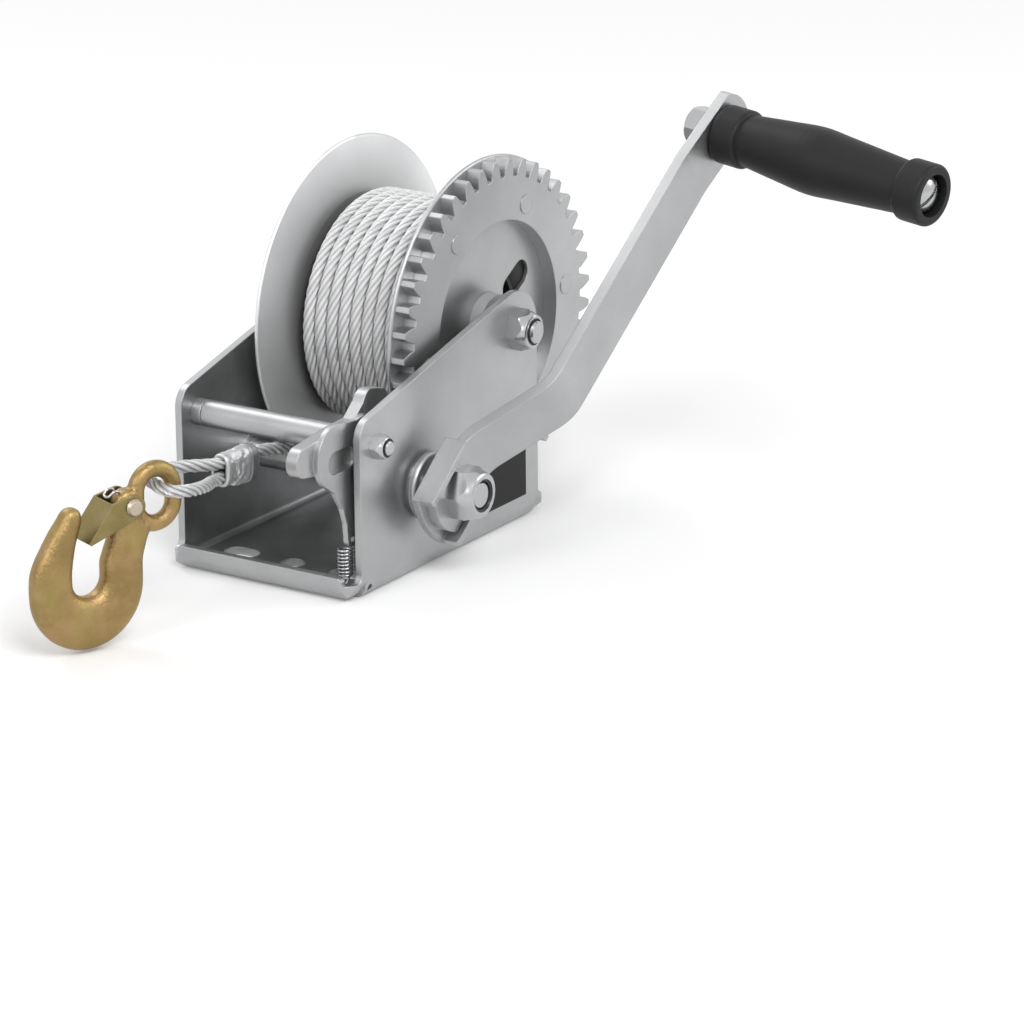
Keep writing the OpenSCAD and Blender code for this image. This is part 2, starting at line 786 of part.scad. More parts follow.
module ferrule_outline(r) {
    for (s = [-1, 1]) translate([0, s * ferrule_half_h]) circle(r = r);
    translate([-r, -ferrule_half_h]) square([2 * r, 2 * ferrule_half_h]);
}

module ferrule() {
    length = ferrule_back_x - ferrule_front_x;
    bore_r = rope_r + 0.5;
    band_len = 4;
    band_rise = 0.5;
    mid = [(ferrule_back_x + ferrule_front_x) / 2, 0, ferrule_z];
    color("silver") translate(mid) rotate([0, ferrule_tilt, 0]) rotate([90, 0, 90]) difference() {
        union() {
            linear_extrude(height = length, center = true) ferrule_outline(ferrule_r);
            translate([0, 0, length / 2 - band_len]) linear_extrude(height = band_len)
                ferrule_outline(ferrule_r + band_rise);
        }
        for (s = [-1, 1]) translate([0, s * ferrule_half_h, -length])
            cylinder(h = 2 * length, r = bore_r);
    }
}

// Drive shaft with its pinion, clip, bracket, arm and nut
module double_flat(y0, y1, gap) {
    intersection() {
        y_rod(shaft_r + gap, y0, y1);
        translate([-shaft_r * 2, y0, -flat_half - gap]) cube([shaft_r * 4, y1 - y0, 2 * (flat_half + gap)]);
    }
}

module at_crank() {
    translate([shaft_x, 0, shaft_z]) rotate([0, -crank_angle, 0]) children();
}

clip_y = half_w + 2.7;
clip_t = 1;
clip_groove_r = 4;

module drive_shaft() {
    color(steel) difference() {
        at_crank() union() {
            y_rod(shaft_r, web_in_y, shaft_far_y);
            double_flat(arm_out_y - past, web_in_y + eps, 0);
            shank(shaft_r, shaft_end_y, arm_out_y, 0, 0);
        }
        at_crank() difference() {
            y_rod(shaft_r + past, clip_y - slide_gap, clip_y + clip_t + slide_gap);
            y_rod(clip_groove_r, half_w, clip_y + clip_t + past);
        }
    }
}

module shaft_clip() {
    clip_r = 7.5;
    clip_mouth = 3.2;
    color("dimgray") at_crank() difference() {
        y_rod(clip_r, clip_y, clip_y + clip_t);
        y_rod(clip_groove_r + 2 * eps, half_w, clip_y + clip_t + past);
        translate([-clip_mouth / 2, clip_y - past, 0]) cube([clip_mouth, clip_t + 2 * past, clip_r + past]);
    }
}

pinion_mesh_angle = atan2(axle_z - shaft_z, axle_x - shaft_x);
gear_mesh_offset = pinion_mesh_angle + 180 - gear_angle;
gear_pitches = gear_mesh_offset / (360 / gear_teeth);
pinion_angle = pinion_mesh_angle + 180 / pinion_teeth
    + (gear_pitches - floor(gear_pitches)) * 360 / pinion_teeth;

module pinion() {
    pinion_in_y = 3.3 - inner_w;
    flange_gap = 0.5;
    color(steel) translate([shaft_x, 0, shaft_z]) difference() {
        y_slab(pinion_in_y, gear_y - flange_gap)
            polygon(polar(gear_outline(pinion_teeth, pinion_shift, pinion_tip_r, pinion_root_r,
                pinion_angle)));
        y_rod(shaft_r + eps, -half_w, 0);
    }
}

module bracket_lip() {
    corner_y = lip_out_y + bracket_corner_r;
    lip_len = bracket_half_l + bracket_top_l;
    linear_extrude(height = bracket_t) difference() {
        translate([-bracket_half_l, lip_out_y]) square([lip_len, web_in_y - lip_out_y]);
        translate([bracket_top_l - bracket_corner_r, corner_y])
            mirror([0, 1]) corner_waste(bracket_corner_r);
        translate([bracket_corner_r - bracket_half_l, corner_y])
            mirror([1, 0]) mirror([0, 1]) corner_waste(bracket_corner_r);
    }
}

module drive_bracket() {
    bulge = 2.8;
    bulge_x = bracket_bulge_r - bracket_half_l - bulge;
    color(zinc) at_crank() difference() {
        union() {
            y_slab(arm_in_y, web_in_y) {
                translate([-bracket_half_l, -bracket_half_w])
                    square([bracket_half_l + bracket_top_l, 2 * bracket_half_w]);
                intersection() {
                    translate([bulge_x, 0]) circle(r = bracket_bulge_r, $fn = 128);
                    translate([-bracket_half_l - 2 * bulge, -bracket_half_w])
                        square([bracket_half_l, 2 * bracket_half_w]);
                }
            }
            for (s = [-1, 1]) {
                z0 = s > 0 ? bracket_half_w - bracket_t : -bracket_half_w;
                translate([0, 0, z0]) bracket_lip();
            }
        }
        double_flat(arm_in_y - past, web_in_y + past, slide_gap);
    }
}

// Flat bar bent in its thickness: a middle line of straight runs in +X and arcs that turn towards -Y
function bend_cut(a) = bend_mid_r * tan(abs(a) / 2);
function ahead(place, length) =
    [place[0] + length * cos(place[2]), place[1] + length * sin(place[2]), place[2]];
function arc_point(place, a, t) =
    let(k = a > 0 ? -1 : 1, end = place[2] - a * t)
    [place[0] + k * bend_mid_r * (sin(end) - sin(place[2])),
        place[1] - k * bend_mid_r * (cos(end) - cos(place[2])), end];
function arc(place, a) = [for (i = [0 : bend_facets]) arc_point(place, a, i / bend_facets)];
function last(list) = list[len(list) - 1];
arm_start = [0, (arm_in_y + arm_out_y) / 2, 0];
arm_bend_1 = arc(ahead(arm_start, arm_corner_1 - bend_cut(bend_out)), bend_out);
arm_slant = arm_slant_len - bend_cut(bend_out) - bend_cut(bend_back);
arm_bend_2 = arc(ahead(last(arm_bend_1), arm_slant), bend_back);
arm_main = arm_main_len - bend_cut(bend_back) - bend_cut(bend_end);
arm_bend_3 = arc(ahead(last(arm_bend_2), arm_main), bend_end);
arm_tip = ahead(last(arm_bend_3), arm_end_len - bend_cut(bend_end));
arm_line = concat(arm_bend_1, arm_bend_2, arm_bend_3);
function beside(place, d) = [place[0] - d * sin(place[2]), place[1] + d * cos(place[2])];

// Frame of the arm's end: origin on the grip's axis, mid thickness, +X along the bar, -Y along the grip
module at_grip() {
    at_crank() translate([arm_tip[0], arm_tip[1], 0]) rotate([0, 0, arm_tip[2]]) children();
}

// What is cut away to round a bar's end about the origin
module round_end() {
    difference() {
        translate([-arm_w, -arm_t, -arm_w]) cube([arm_w, 2 * arm_t, 2 * arm_w]);
        y_rod(arm_end_r, -2 * arm_t, 2 * arm_t);
    }
}

module crank_arm() {
    line = concat([ahead(arm_start, -arm_end_r - past)], arm_line, [ahead(arm_tip, arm_end_r + past)]);
    count = len(line);
    color(zinc) difference() {
        at_crank() linear_extrude(height = arm_w, center = true) polygon(concat(
            [for (i = [0 : count - 1]) beside(line[i], -arm_t / 2)],
            [for (i = [count - 1 : -1 : 0]) beside(line[i], arm_t / 2)]));
        at_crank() translate([arm_start[0], arm_start[1], 0]) round_end();
        at_grip() mirror([1, 0, 0]) round_end();
        at_crank() double_flat(arm_out_y - past, arm_in_y + past, slide_gap);
        at_grip() y_rod(axle_r + run_gap, -arm_t, arm_t);
    }
}

module crank_nut() {
    color(steel) at_crank() lock_nut(m10_flat, m10_nut_h, shaft_r, arm_out_y, 0, 0, crank_nut_turn);
}

module crank_nut_insert() {
    color("dimgray") at_crank() nylon_ring(m10_nut_h, shaft_r, arm_out_y, 0, 0);
}

// Grip and its bolt
grip_face_y = -arm_t / 2 - grip_start;
grip_end_y = grip_face_y - grip_len;
pit_floor_y = grip_end_y + grip_pit_depth;

module grip_bolt() {
    head_y = pit_floor_y - side_gap;
    top_y = head_y - screw_head_h;
    end_y = arm_t / 2 + grip_nut_h + bolt_past_nut;
    color(steel) at_grip() difference() {
        union() {
            mirror([0, 1, 0]) shank(axle_r, -end_y, -head_y + eps, 0, 0);
            intersection() {
                y_rod(screw_head_r, top_y, head_y);
                translate([0, top_y + screw_dome_r, 0]) sphere(r = screw_dome_r);
            }
        }
        translate([-screw_head_r - past, top_y - past, -screw_slot_w / 2])
            cube([2 * (screw_head_r + past), screw_slot_depth + past, screw_slot_w]);
    }
}

module grip_nut() {
    color(steel) at_grip() difference() {
        mirror([0, 1, 0]) blunt_hex(m8_flat, -arm_t / 2 - grip_nut_h, -arm_t / 2, 0, 0, grip_nut_turn);
        y_rod(axle_r + eps, 0, grip_nut_h + arm_t);
    }
}

module grip_collar(y0, r) {
    edge_r = 1.5;
    translate([0, y0]) square([r - edge_r, grip_collar_len]);
    translate([0, y0 + edge_r]) square([r, grip_collar_len - 2 * edge_r]);
    for (y1 = [y0 + edge_r, y0 + grip_collar_len - edge_r])
        translate([r - edge_r, y1]) circle(r = edge_r);
}

// Two soft cones that meet at the belly, between the collars
module grip_outline() {
    base_y = grip_face_y - grip_collar_len;
    body_len = grip_len - 2 * grip_collar_len;
    inside = 2;
    side_steps = 4;
    // Radius, and share of the length from the arm's end
    side = [[grip_waist_r, 0], [grip_belly_r - 1.1, 0.25], [grip_belly_r, 0.43], [grip_belly_r - 0.8, 0.6],
        [grip_waist_r, 1]];
    edge = smooth(concat([[grip_waist_r, base_y + inside]], [for (s = side) [s[0], base_y - body_len * s[1]]],
        [[grip_waist_r, base_y - body_len - inside]]), side_steps);
    polygon(concat([[0, base_y + inside]], edge, [[0, base_y - body_len - inside]]));
    grip_collar(base_y, grip_base_r);
    grip_collar(grip_end_y, grip_collar_r);
}

module grip() {
    color([0.06, 0.06, 0.06]) at_grip() difference() {
        y_turned(0, 0) grip_outline();
        y_rod(grip_bore_r, grip_end_y - past, grip_face_y + past);
        y_rod(grip_pit_r, grip_end_y - past, pit_floor_y);
    }
}

// Ratchet pawl, drawn about its pivot: thick lever with two noses, a finger tab in front and a thumb tab
// above, and a thinner cheek with a tail
function polar_point(reach, a) = [reach * cos(a), reach * sin(a)];

module pawl_noses() {
    root_r = 8;
    root_a = 45;
    // Reach and angle of a nose's edge, from its tip
    edge = [[nose_reach, 0], [nose_reach - 1.5, -5], [root_r, -root_a], [root_r, root_a],
        [nose_reach - 5.5, 6]];
    for (side = [[nose_low, 1], [nose_high, -1]])
        polygon([for (e = edge) polar_point(e[0], side[0] + e[1] * side[1])]);
}

thumb_root = [8, 11.2];
thumb_end = [14, 11.4];

module pawl_lever_outline() {
    boss_r = 9;
    lever_r = 16;
    thumb_root_r = 5.6;
    thumb_end_r = 4.1;
    translate(ear) circle(r = ear_r);
    polygon([ear + [0, ear_r], ear - [0, ear_r], polar_point(lever_r, 205), polar_point(boss_r, 250),
        polar_point(boss_r, 100), polar_point(lever_r, 148)]);
    circle(r = boss_r);
    pawl_noses();
    translate(thumb_root) circle(r = thumb_root_r);
    translate(thumb_end) circle(r = thumb_end_r);
    polygon([[-5, 7], [2.9, 13.4], thumb_root + [0.4, thumb_root_r], thumb_end + [0.6, thumb_end_r],
        thumb_end + [thumb_end_r, -0.4], [8, 4]]);
}

module pawl_cheek_outline() {
    hub = 10;
    tail_r = 2.7;
    translate(cheek) circle(r = cheek_r);
    circle(r = hub);
    polygon([cheek + [0, cheek_r], cheek + [-7.6, -8.5], tail + [-9.8, 18.9], tail + [-5.4, 12.2],
        tail + [-3.3, 6.2], tail + [-tail_r, 0], tail + [tail_r, 0], tail + [4.2, 9.2], tail + [9.2, 21.2],
        [6, 8]]);
    translate(tail) circle(r = tail_r);
}

module pawl_pocket() {
    pocket_r = 4;
    pocket_len = 7;
    pocket_start = [-1, -2];
    translate(cheek + pocket_start) {
        circle(r = pocket_r);
        translate([pocket_len, 0]) circle(r = pocket_r);
        translate([0, -pocket_r]) square([pocket_len, 2 * pocket_r]);
    }
}

module pawl() {
    dish_r = 16;
    dish_depth = 2;
    pocket_depth = 1.3;
    dish = (thumb_root + thumb_end) / 2;
    color(zinc) translate([spacer_x, 0, spacer_z]) difference() {
        union() {
            y_slab(pawl_mid_y, pawl_in_y) pawl_lever_outline();
            y_slab(pawl_out_y, pawl_mid_y + eps) pawl_cheek_outline();
        }
        y_rod(pawl_bush_r + run_gap, -half_w, 0);
        y_rod(tail_hole_r, -half_w, 0, tail[0], tail[1]);
        translate([dish[0], pawl_mid_y - dish_r + dish_depth, dish[1]]) sphere(r = dish_r);
        y_slab(pawl_out_y - past, pawl_out_y + pocket_depth) pawl_pocket();
    }
}

// Hook in its own plane, with the eye at the origin
module at_hook() {
    translate([eye_x, 0, eye_z]) rotate([0, 0, -hook_turn]) children();
}

module rounded_bar_outline(depth, thick) {
    round_r = thick / 2;
    for (s = [-1, 1]) translate([s * (depth / 2 - round_r), 0]) circle(r = round_r);
    translate([-(depth / 2 - round_r), -round_r]) square([depth - thick, thick]);
}

module bar_slice(x, z, depth, thick) {
    translate([x, 0, z]) linear_extrude(height = slice_h) rounded_bar_outline(depth, thick, $fn = hull_fn);
}

shank_hx = bowl_x + bowl_mid_r;
tip_hx = bowl_x - bowl_mid_r;
neck_hz = -22;
tip_straight_hz = -19;
hull_fn = 24;
// The hulls start a little inside the round forms that they grow out of
inset = 0.3;
sunk = 1.2;
slice_h = 0.4;

// Half ring of the bowl; a second one lower down makes the bottom thicker than the sides
module hook_bowl(z) {
    translate([bowl_x, 0, z]) rotate([90, 0, 0]) rotate([0, 0, 180]) rotate_extrude(angle = 180)
        translate([bowl_mid_r, 0]) rounded_bar_outline(bowl_depth, hook_t);
}

// Long eye: two half rings joined by straight sides
module hook_eye() {
    for (s = [0, 1]) mirror([0, 0, s])
        translate([eye_hx, 0, eye_rise]) rotate([90, 0, 0]) rotate_extrude(angle = 180)
            translate([eye_mid_r, 0]) circle(r = eye_ring_r);
    for (s = [-1, 1])
        translate([eye_hx + s * eye_mid_r, 0, -eye_rise]) cylinder(h = 2 * eye_rise, r = eye_ring_r);
}

module hook_neck() {
    lobe_r = 5;
    lobe_in = 1;
    waist = [-12, -12.5];
    waist_depth = 14.6;
    waist_thick = 9.4;
    neck_sunk = 3.4;
    hull() {
        bar_slice(shank_hx, neck_hz - neck_sunk, bowl_depth - 2 * inset, hook_t - 2 * inset);
        bar_slice(waist[0], waist[1], waist_depth, waist_thick);
    }
    difference() {
        hull() {
            bar_slice(waist[0], waist[1] - sunk, waist_depth - inset, waist_thick - inset);
            y_rod(lobe_r, lobe_in - hook_t / 2, hook_t / 2 - lobe_in, rivet_hx, rivet_hz, $fn = hull_fn);
            for (a = [180, 250])
                translate([eye_hx + eye_mid_r * cos(a), 0, eye_mid_r * sin(a) - eye_rise])
                    sphere(r = eye_ring_r - inset, $fn = hull_fn);
        }
        y_slab(-hook_t, hook_t) translate([eye_hx, 0]) {
            for (s = [-1, 1]) translate([0, s * eye_rise]) circle(r = eye_in_r + 2 * inset);
            translate([-eye_in_r - 2 * inset, -eye_rise]) square([2 * (eye_in_r + 2 * inset), 2 * eye_rise]);
        }
    }
}

module hook_tip() {
    mid = [-38.2, -10];
    mid_depth = 11.8;
    mid_thick = 8.6;
    end = [-33.5, -1.7];
    end_r = 3.9;
    hull() {
        bar_slice(tip_hx, tip_straight_hz - sunk, bowl_depth - 2 * inset, hook_t - 2 * inset);
        bar_slice(mid[0], mid[1], mid_depth, mid_thick);
    }
    hull() {
        bar_slice(mid[0], mid[1] - sunk, mid_depth - inset, mid_thick - inset);
        translate([end[0], 0, end[1]]) sphere(r = end_r, $fn = hull_fn);
    }
}

module hook() {
    color(gold) at_hook() difference() {
        union() {
            hook_eye();
            hook_bowl(bowl_z);
            hook_bowl(bowl_z - bowl_drop);
            translate([shank_hx, 0, bowl_z - bowl_drop]) linear_extrude(height = neck_hz - bowl_z + bowl_drop)
                rounded_bar_outline(bowl_depth, hook_t);
            translate([tip_hx, 0, bowl_z - bowl_drop])
                linear_extrude(height = tip_straight_hz - bowl_z + bowl_drop)
                rounded_bar_outline(bowl_depth, hook_t);
            hook_neck();
            hook_tip();
        }
        y_rod(latch_rivet_r + run_gap, -hook_t, hook_t, rivet_hx, rivet_hz);
    }
}

module at_latch() {
    at_hook() translate([rivet_hx, 0, rivet_hz]) children();
}

module latch_rivet() {
    head_r = 3.2;
    head_top_r = 2.4;
    head_h = 1.4;
    head_y = latch_half_w + slide_gap;
    color(steel) at_latch() {
        y_rod(latch_rivet_r, -head_y - slide_gap, head_y + slide_gap);
        for (s = [0, 1]) mirror([0, s, 0])
            y_turned(0, 0) polygon([[0, head_y], [head_r, head_y], [head_top_r, latch_half_w + head_h],
                [0, latch_half_w + head_h]]);
    }
}

// The latch's side, from its rivet: a lobe, and a wedge between the fold of the web and the lower edge
latch_fold_top = [-8, 2.6];
latch_fold_end = [-17.6, -9.4];

module latch_side() {
    lobe_r = 4.3;
    circle(r = lobe_r);
    polygon([[0, lobe_r], latch_fold_top, latch_fold_end, latch_fold_end + [0.8, -0.7], [0.6, -lobe_r]]);
}

// Channel of sheet: two sides and the web that joins them along the fold
module hook_latch() {
    fold = latch_fold_end - latch_fold_top;
    wide = 40;
    color(gold) at_latch() difference() {
        union() {
            for (s = [0, 1]) mirror([0, s, 0])
                y_slab(latch_half_w - latch_t, latch_half_w) latch_side();
            intersection() {
                y_slab(-latch_half_w, latch_half_w) latch_side();
                translate([latch_fold_top[0], -wide / 2, latch_fold_top[1]])
                    rotate([0, -atan2(fold[1], fold[0]), 0]) cube([norm(fold) + past, wide, latch_t]);
            }
        }
        y_rod(latch_rivet_r + run_gap, -wide / 2, wide / 2);
    }
}

module latch_spring() {
    wire_r = 0.45;
    half_route = [[-2.6, 1.6, 3.6], [-3.4, 1.8, 5], [-5.2, 2, 5.2], [-6.8, 1.6, 3.9]];
    bend = [-7.2, 0, 3.5];
    other_half = [for (i = [0 : len(half_route) - 1]) let(p = half_route[i]) [p[0], -p[1], p[2]]];
    route = concat(other_half, [bend], [for (i = [len(half_route) - 1 : -1 : 0]) half_route[i]]);
    color(steel) at_latch() tube(smooth(route, rope_steps), wire_r, spring_sides, [0, 1, 0.1]);
}

frame();
label_plate();
axle_bolt();
axle_nut();
axle_sleeve();
drum_spacers();
spacer_tube();
spacer_collar();
spacer_bolt();
spacer_nut();
pawl_bush();
pawl_spring();
near_shaft_bush();
far_shaft_bush();
frame_nut_inserts();
drum_hub();
drum_barrel();
near_flange();
far_flange();
drum_gear();
gear_rivets();
rope_core();
rope_winding();
rope_clamp();
clamp_screws();
rope_free();
ferrule();
drive_shaft();
pinion();
shaft_clip();
drive_bracket();
crank_arm();
crank_nut();
crank_nut_insert();
grip_bolt();
grip_nut();
grip();
pawl();
hook();
latch_rivet();
latch_spring();
hook_latch();
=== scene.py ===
import math

import bmesh
import bpy
import mathutils
from mathutils import Matrix, Vector


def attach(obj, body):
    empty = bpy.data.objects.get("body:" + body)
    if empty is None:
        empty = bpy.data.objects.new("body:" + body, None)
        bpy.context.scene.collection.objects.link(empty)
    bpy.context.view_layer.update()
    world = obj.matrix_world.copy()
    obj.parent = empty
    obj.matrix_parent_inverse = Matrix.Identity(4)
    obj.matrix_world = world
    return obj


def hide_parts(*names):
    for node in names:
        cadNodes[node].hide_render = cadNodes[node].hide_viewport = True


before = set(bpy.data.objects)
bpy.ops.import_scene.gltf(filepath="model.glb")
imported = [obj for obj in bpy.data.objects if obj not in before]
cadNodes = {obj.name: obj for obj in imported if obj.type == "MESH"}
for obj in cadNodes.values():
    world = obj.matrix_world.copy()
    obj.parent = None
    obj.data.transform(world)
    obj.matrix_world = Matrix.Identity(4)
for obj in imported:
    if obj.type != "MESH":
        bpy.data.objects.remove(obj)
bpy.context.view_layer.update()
print("frame loaded:", len(cadNodes), "solids")

scene = bpy.context.scene
mm = 0.001


# camera at the photographed angle
cameraSpec = {
    "place": (-1.5061, -1.0571, 0.6279),
    "azimuth": -56.596,
    "elevation": 18.601,
    "roll": -0.555,
    "lens": 193.7,
    "sensor": 36.0,
}


def addCamera(spec):
    turn = math.radians(spec["azimuth"])
    tilt = math.radians(spec["elevation"])
    roll = math.radians(spec["roll"])
    back = Vector((math.sin(turn) * math.cos(tilt), -math.cos(turn) * math.cos(tilt), math.sin(tilt)))
    right = Vector((math.cos(turn), math.sin(turn), 0.0))
    up = back.cross(right)
    rolledRight = right * math.cos(roll) + up * math.sin(roll)
    rolledUp = up * math.cos(roll) - right * math.sin(roll)
    data = bpy.data.cameras.new("camera")
    data.lens = spec["lens"]
    data.sensor_width = spec["sensor"]
    data.clip_start = 0.05
    data.clip_end = 50.0
    camera = bpy.data.objects.new("camera", data)
    scene.collection.objects.link(camera)
    placed = Matrix((rolledRight, rolledUp, back)).transposed().to_4x4()
    placed.translation = Vector(spec["place"])
    camera.matrix_world = placed
    scene.camera = camera


addCamera(cameraSpec)
print("camera placed")


# a socket with its tree: maths on it adds Math nodes, and put adds any other node
class Sock:
    def __init__(self, tree, socket=None):
        self.tree = tree
        self.socket = socket

    def put(self, kind, settings=None, inputs=None, output=0):
        node = self.tree.nodes.new(kind)
        for name, value in (settings or {}).items():
            setattr(node, name, value)
        for name, value in (inputs or {}).items():
            target = node.inputs[name]
            if isinstance(value, Sock):
                self.tree.links.new(value.socket, target)
            else:
                target.default_value = value
        return Sock(self.tree, node.outputs[output] if len(node.outputs) else None)

    def maths(self, operation, first, second=0.0):
        return self.put("ShaderNodeMath", {"operation": operation}, {0: first, 1: second})

    def __add__(self, other):
        return self.maths("ADD", self, other)

    __radd__ = __add__

    def __sub__(self, other):
        return self.maths("SUBTRACT", self, other)

    def __rsub__(self, other):
        return self.maths("SUBTRACT", other, self)

    def __mul__(self, other):
        return self.maths("MULTIPLY", self, other)

    __rmul__ = __mul__

    def __truediv__(self, other):
        return self.maths("DIVIDE", self, other)

    def __pow__(self, other):
        return self.maths("POWER", self, other)

    def mix(self, low, high):
        tones = [(*t, 1.0) if isinstance(t, tuple) and len(t) == 3 else t for t in (low, high)]
        return self.put("ShaderNodeMix", {"data_type": "RGBA"}, {0: self, 6: tones[0], 7: tones[1]}, 2)

    def within(self, low, high):
        return self.put("ShaderNodeMapRange", {"clamp": True},
                        {"Value": self, "From Min": low, "From Max": high})


def newMaterial(name):
    material = bpy.data.materials.new(name)
    material.use_nodes = True
    material.node_tree.nodes.clear()
    return material, Sock(material.node_tree)


def close(n, inputs):
    shader = n.put("ShaderNodeBsdfPrincipled", None, inputs)
    n.put("ShaderNodeOutputMaterial", None, {"Surface": shader})


def objectPlace(n):
    return n.put("ShaderNodeTexCoord", None, None, "Object")


def noise(n, where, scale, detail=3.0, rough=0.55):
    return n.put("ShaderNodeTexNoise", None,
                 {"Vector": where, "Scale": scale, "Detail": detail, "Roughness": rough})


def stretched(n, where, factors):
    return n.put("ShaderNodeMapping", None, {"Vector": where, "Scale": factors})


def bump(n, height, strength, distance, edge=None):
    inputs = {"Height": height, "Strength": strength, "Distance": distance}
    if edge:
        inputs["Normal"] = n.put("ShaderNodeBevel", {"samples": 4}, {"Radius": edge})
    return n.put("ShaderNodeBump", None, inputs)


# plated and bare metals
platedFinish = {
    "zinc": {"low": (0.37, 0.375, 0.38), "high": (0.47, 0.475, 0.48), "metal": 0.9, "rough": 0.36,
             "edge": 0.0006, "grain": 0.12},
    # painted light: a brighter copy of the zinc, for the far flange
    "flange": {"low": (0.62, 0.625, 0.63), "high": (0.76, 0.765, 0.77), "metal": 0.7, "rough": 0.42,
               "edge": 0.0004, "grain": 0.12},
    "bright": {"low": (0.42, 0.425, 0.43), "high": (0.48, 0.485, 0.49), "metal": 0.94, "rough": 0.24,
               "edge": 0.00012, "grain": 0.02},
    "pressed": {"low": (0.42, 0.425, 0.43), "high": (0.6, 0.605, 0.61), "metal": 0.8, "rough": 0.42,
                "edge": 0.0004, "grain": 0.2},
    "band": {"low": (0.24, 0.245, 0.25), "high": (0.34, 0.345, 0.35), "metal": 0.85, "rough": 0.4,
             "edge": 0.0004, "grain": 0.12},
    "dull": {"low": (0.4, 0.405, 0.41), "high": (0.48, 0.485, 0.49), "metal": 0.5, "rough": 0.66,
             "edge": 0.0004, "grain": 0.12},
    "dark": {"low": (0.16, 0.165, 0.17), "high": (0.27, 0.275, 0.28), "metal": 0.92, "rough": 0.38,
             "edge": 0.0004, "grain": 0.12},
    # painted shade: near-black, for the buried rope and the drum barrel seen in shade through the slot
    "shade": {"low": (0.012, 0.012, 0.013), "high": (0.05, 0.05, 0.052), "metal": 0.4, "rough": 0.6,
              "edge": 0.0004, "grain": 0.12},
}
# painted shade inside the frame, darker than its outside: half width, floor height and half length of that
# room
paintedShadeRoom = {"y": 0.0362, "z": 0.0025, "x": 0.0595, "share": 0.35}
# painted shade on the drum's far flange, darker towards the rope: its axis as x and z, and the radii between
# which the painted shade grows
paintedShadeRing = {"axle": (0.0416, 0.0723), "start": 0.058, "end": 0.041, "share": 0.35}


def inPaintedShadeRoom(n, where, room):
    x, y, z = [n.put("ShaderNodeSeparateXYZ", None, {0: where}, axis) for axis in "XYZ"]
    within = [n.maths("LESS_THAN", n.maths("ABSOLUTE", x), room["x"]),
              n.maths("LESS_THAN", n.maths("ABSOLUTE", y), room["y"]),
              n.maths("GREATER_THAN", z, room["z"])]
    return within[0] * within[1] * within[2]


# mask of painted shade: 0 at the start radius, 1 at the end radius near the rope
def paintedShadeNearRope(n, where, ring):
    x, z = [n.put("ShaderNodeSeparateXYZ", None, {0: where}, axis) - middle
            for axis, middle in zip("XZ", ring["axle"])]
    return ((x * x + z * z) ** 0.5).within(ring["start"], ring["end"])


# pattern of plated metal: scale and detail of each noise, and how much each one counts
platedPattern = {"cloud": (38.0, 5.0), "grain": (900.0, 2.0), "rub": (4.0, 3.0),
                 "rubStretch": (30.0, 30.0, 600.0), "rubBand": (0.55, 0.75), "cloudBand": (0.3, 0.7),
                 "cloudTone": 0.7, "cloudRough": 1.3, "grainRough": 0.7, "rubRough": 0.4,
                 "cloudHeight": 0.6, "depth": 0.00012}


def platedMetal(name, spec, room=None, ring=None):
    material, n = newMaterial(name)
    where = objectPlace(n)
    pattern = platedPattern
    cloud = noise(n, where, *pattern["cloud"])
    grain = noise(n, where, *pattern["grain"])
    rub = noise(n, stretched(n, where, pattern["rubStretch"]), *pattern["rub"]).within(*pattern["rubBand"])
    patches = cloud.within(*pattern["cloudBand"])
    share = pattern["cloudTone"]
    tone = (patches * share + grain * (1 - share)).mix(spec["low"], spec["high"])
    if room:
        # painted shade inside the room: the low tone darkened by its share, varied by the cloud patches
        dull = tuple(v * (1 - room["share"]) for v in spec["low"])
        tone = inPaintedShadeRoom(n, where, room).mix(tone, patches.mix(dull, spec["low"]))
    if ring:
        # painted shade on the far flange towards the rope
        dull = tuple(v * (1 - ring["share"]) for v in spec["low"])
        tone = paintedShadeNearRope(n, where, ring).mix(tone, dull)
    uneven = cloud * pattern["cloudRough"] + grain * pattern["grainRough"] + rub * pattern["rubRough"] - 1.0
    height = grain + cloud * pattern["cloudHeight"]
    close(n, {
        "Base Color": tone,
        "Metallic": spec["metal"],
        "Roughness": uneven * spec["grain"] + spec["rough"],
        "Normal": bump(n, height, spec["grain"], pattern["depth"], spec["edge"]),
    })
    return material


goldFinish = {
    "hook": {"low": (0.23, 0.155, 0.058), "high": (0.41, 0.285, 0.122), "blush": (0.4, 0.245, 0.15),
             "green": (0.33, 0.28, 0.09), "rough": 0.42, "pits": 0.9},
    "latch": {"low": (0.17, 0.13, 0.05), "high": (0.3, 0.24, 0.1), "blush": (0.28, 0.21, 0.12),
              "green": (0.24, 0.22, 0.08), "rough": 0.36, "pits": 0.25},
    "rivet": {"low": (0.42, 0.34, 0.27), "high": (0.56, 0.47, 0.39), "blush": (0.5, 0.38, 0.33),
              "green": (0.46, 0.43, 0.3), "rough": 0.36, "pits": 0.2},
}


# pattern of yellow plating: scale and detail of each noise, and how much each one counts
goldPattern = {"cloud": (70.0, 4.0), "blush": (140.0, 2.0), "pits": (850.0, 3.0), "green": (95.0, 2.0),
               "greenStretch": (1.0, 1.0, 0.5), "cloudBand": (0.3, 0.7), "blushBand": (0.52, 0.7),
               "greenBand": (0.5, 0.68), "cloudTone": 0.7, "blushShare": 0.4, "greenShare": 0.35,
               "cloudRough": 0.2, "pitsRough": 0.1, "metal": 0.95, "cloudHeight": 0.5, "depth": 0.0003,
               "edge": 0.0005}


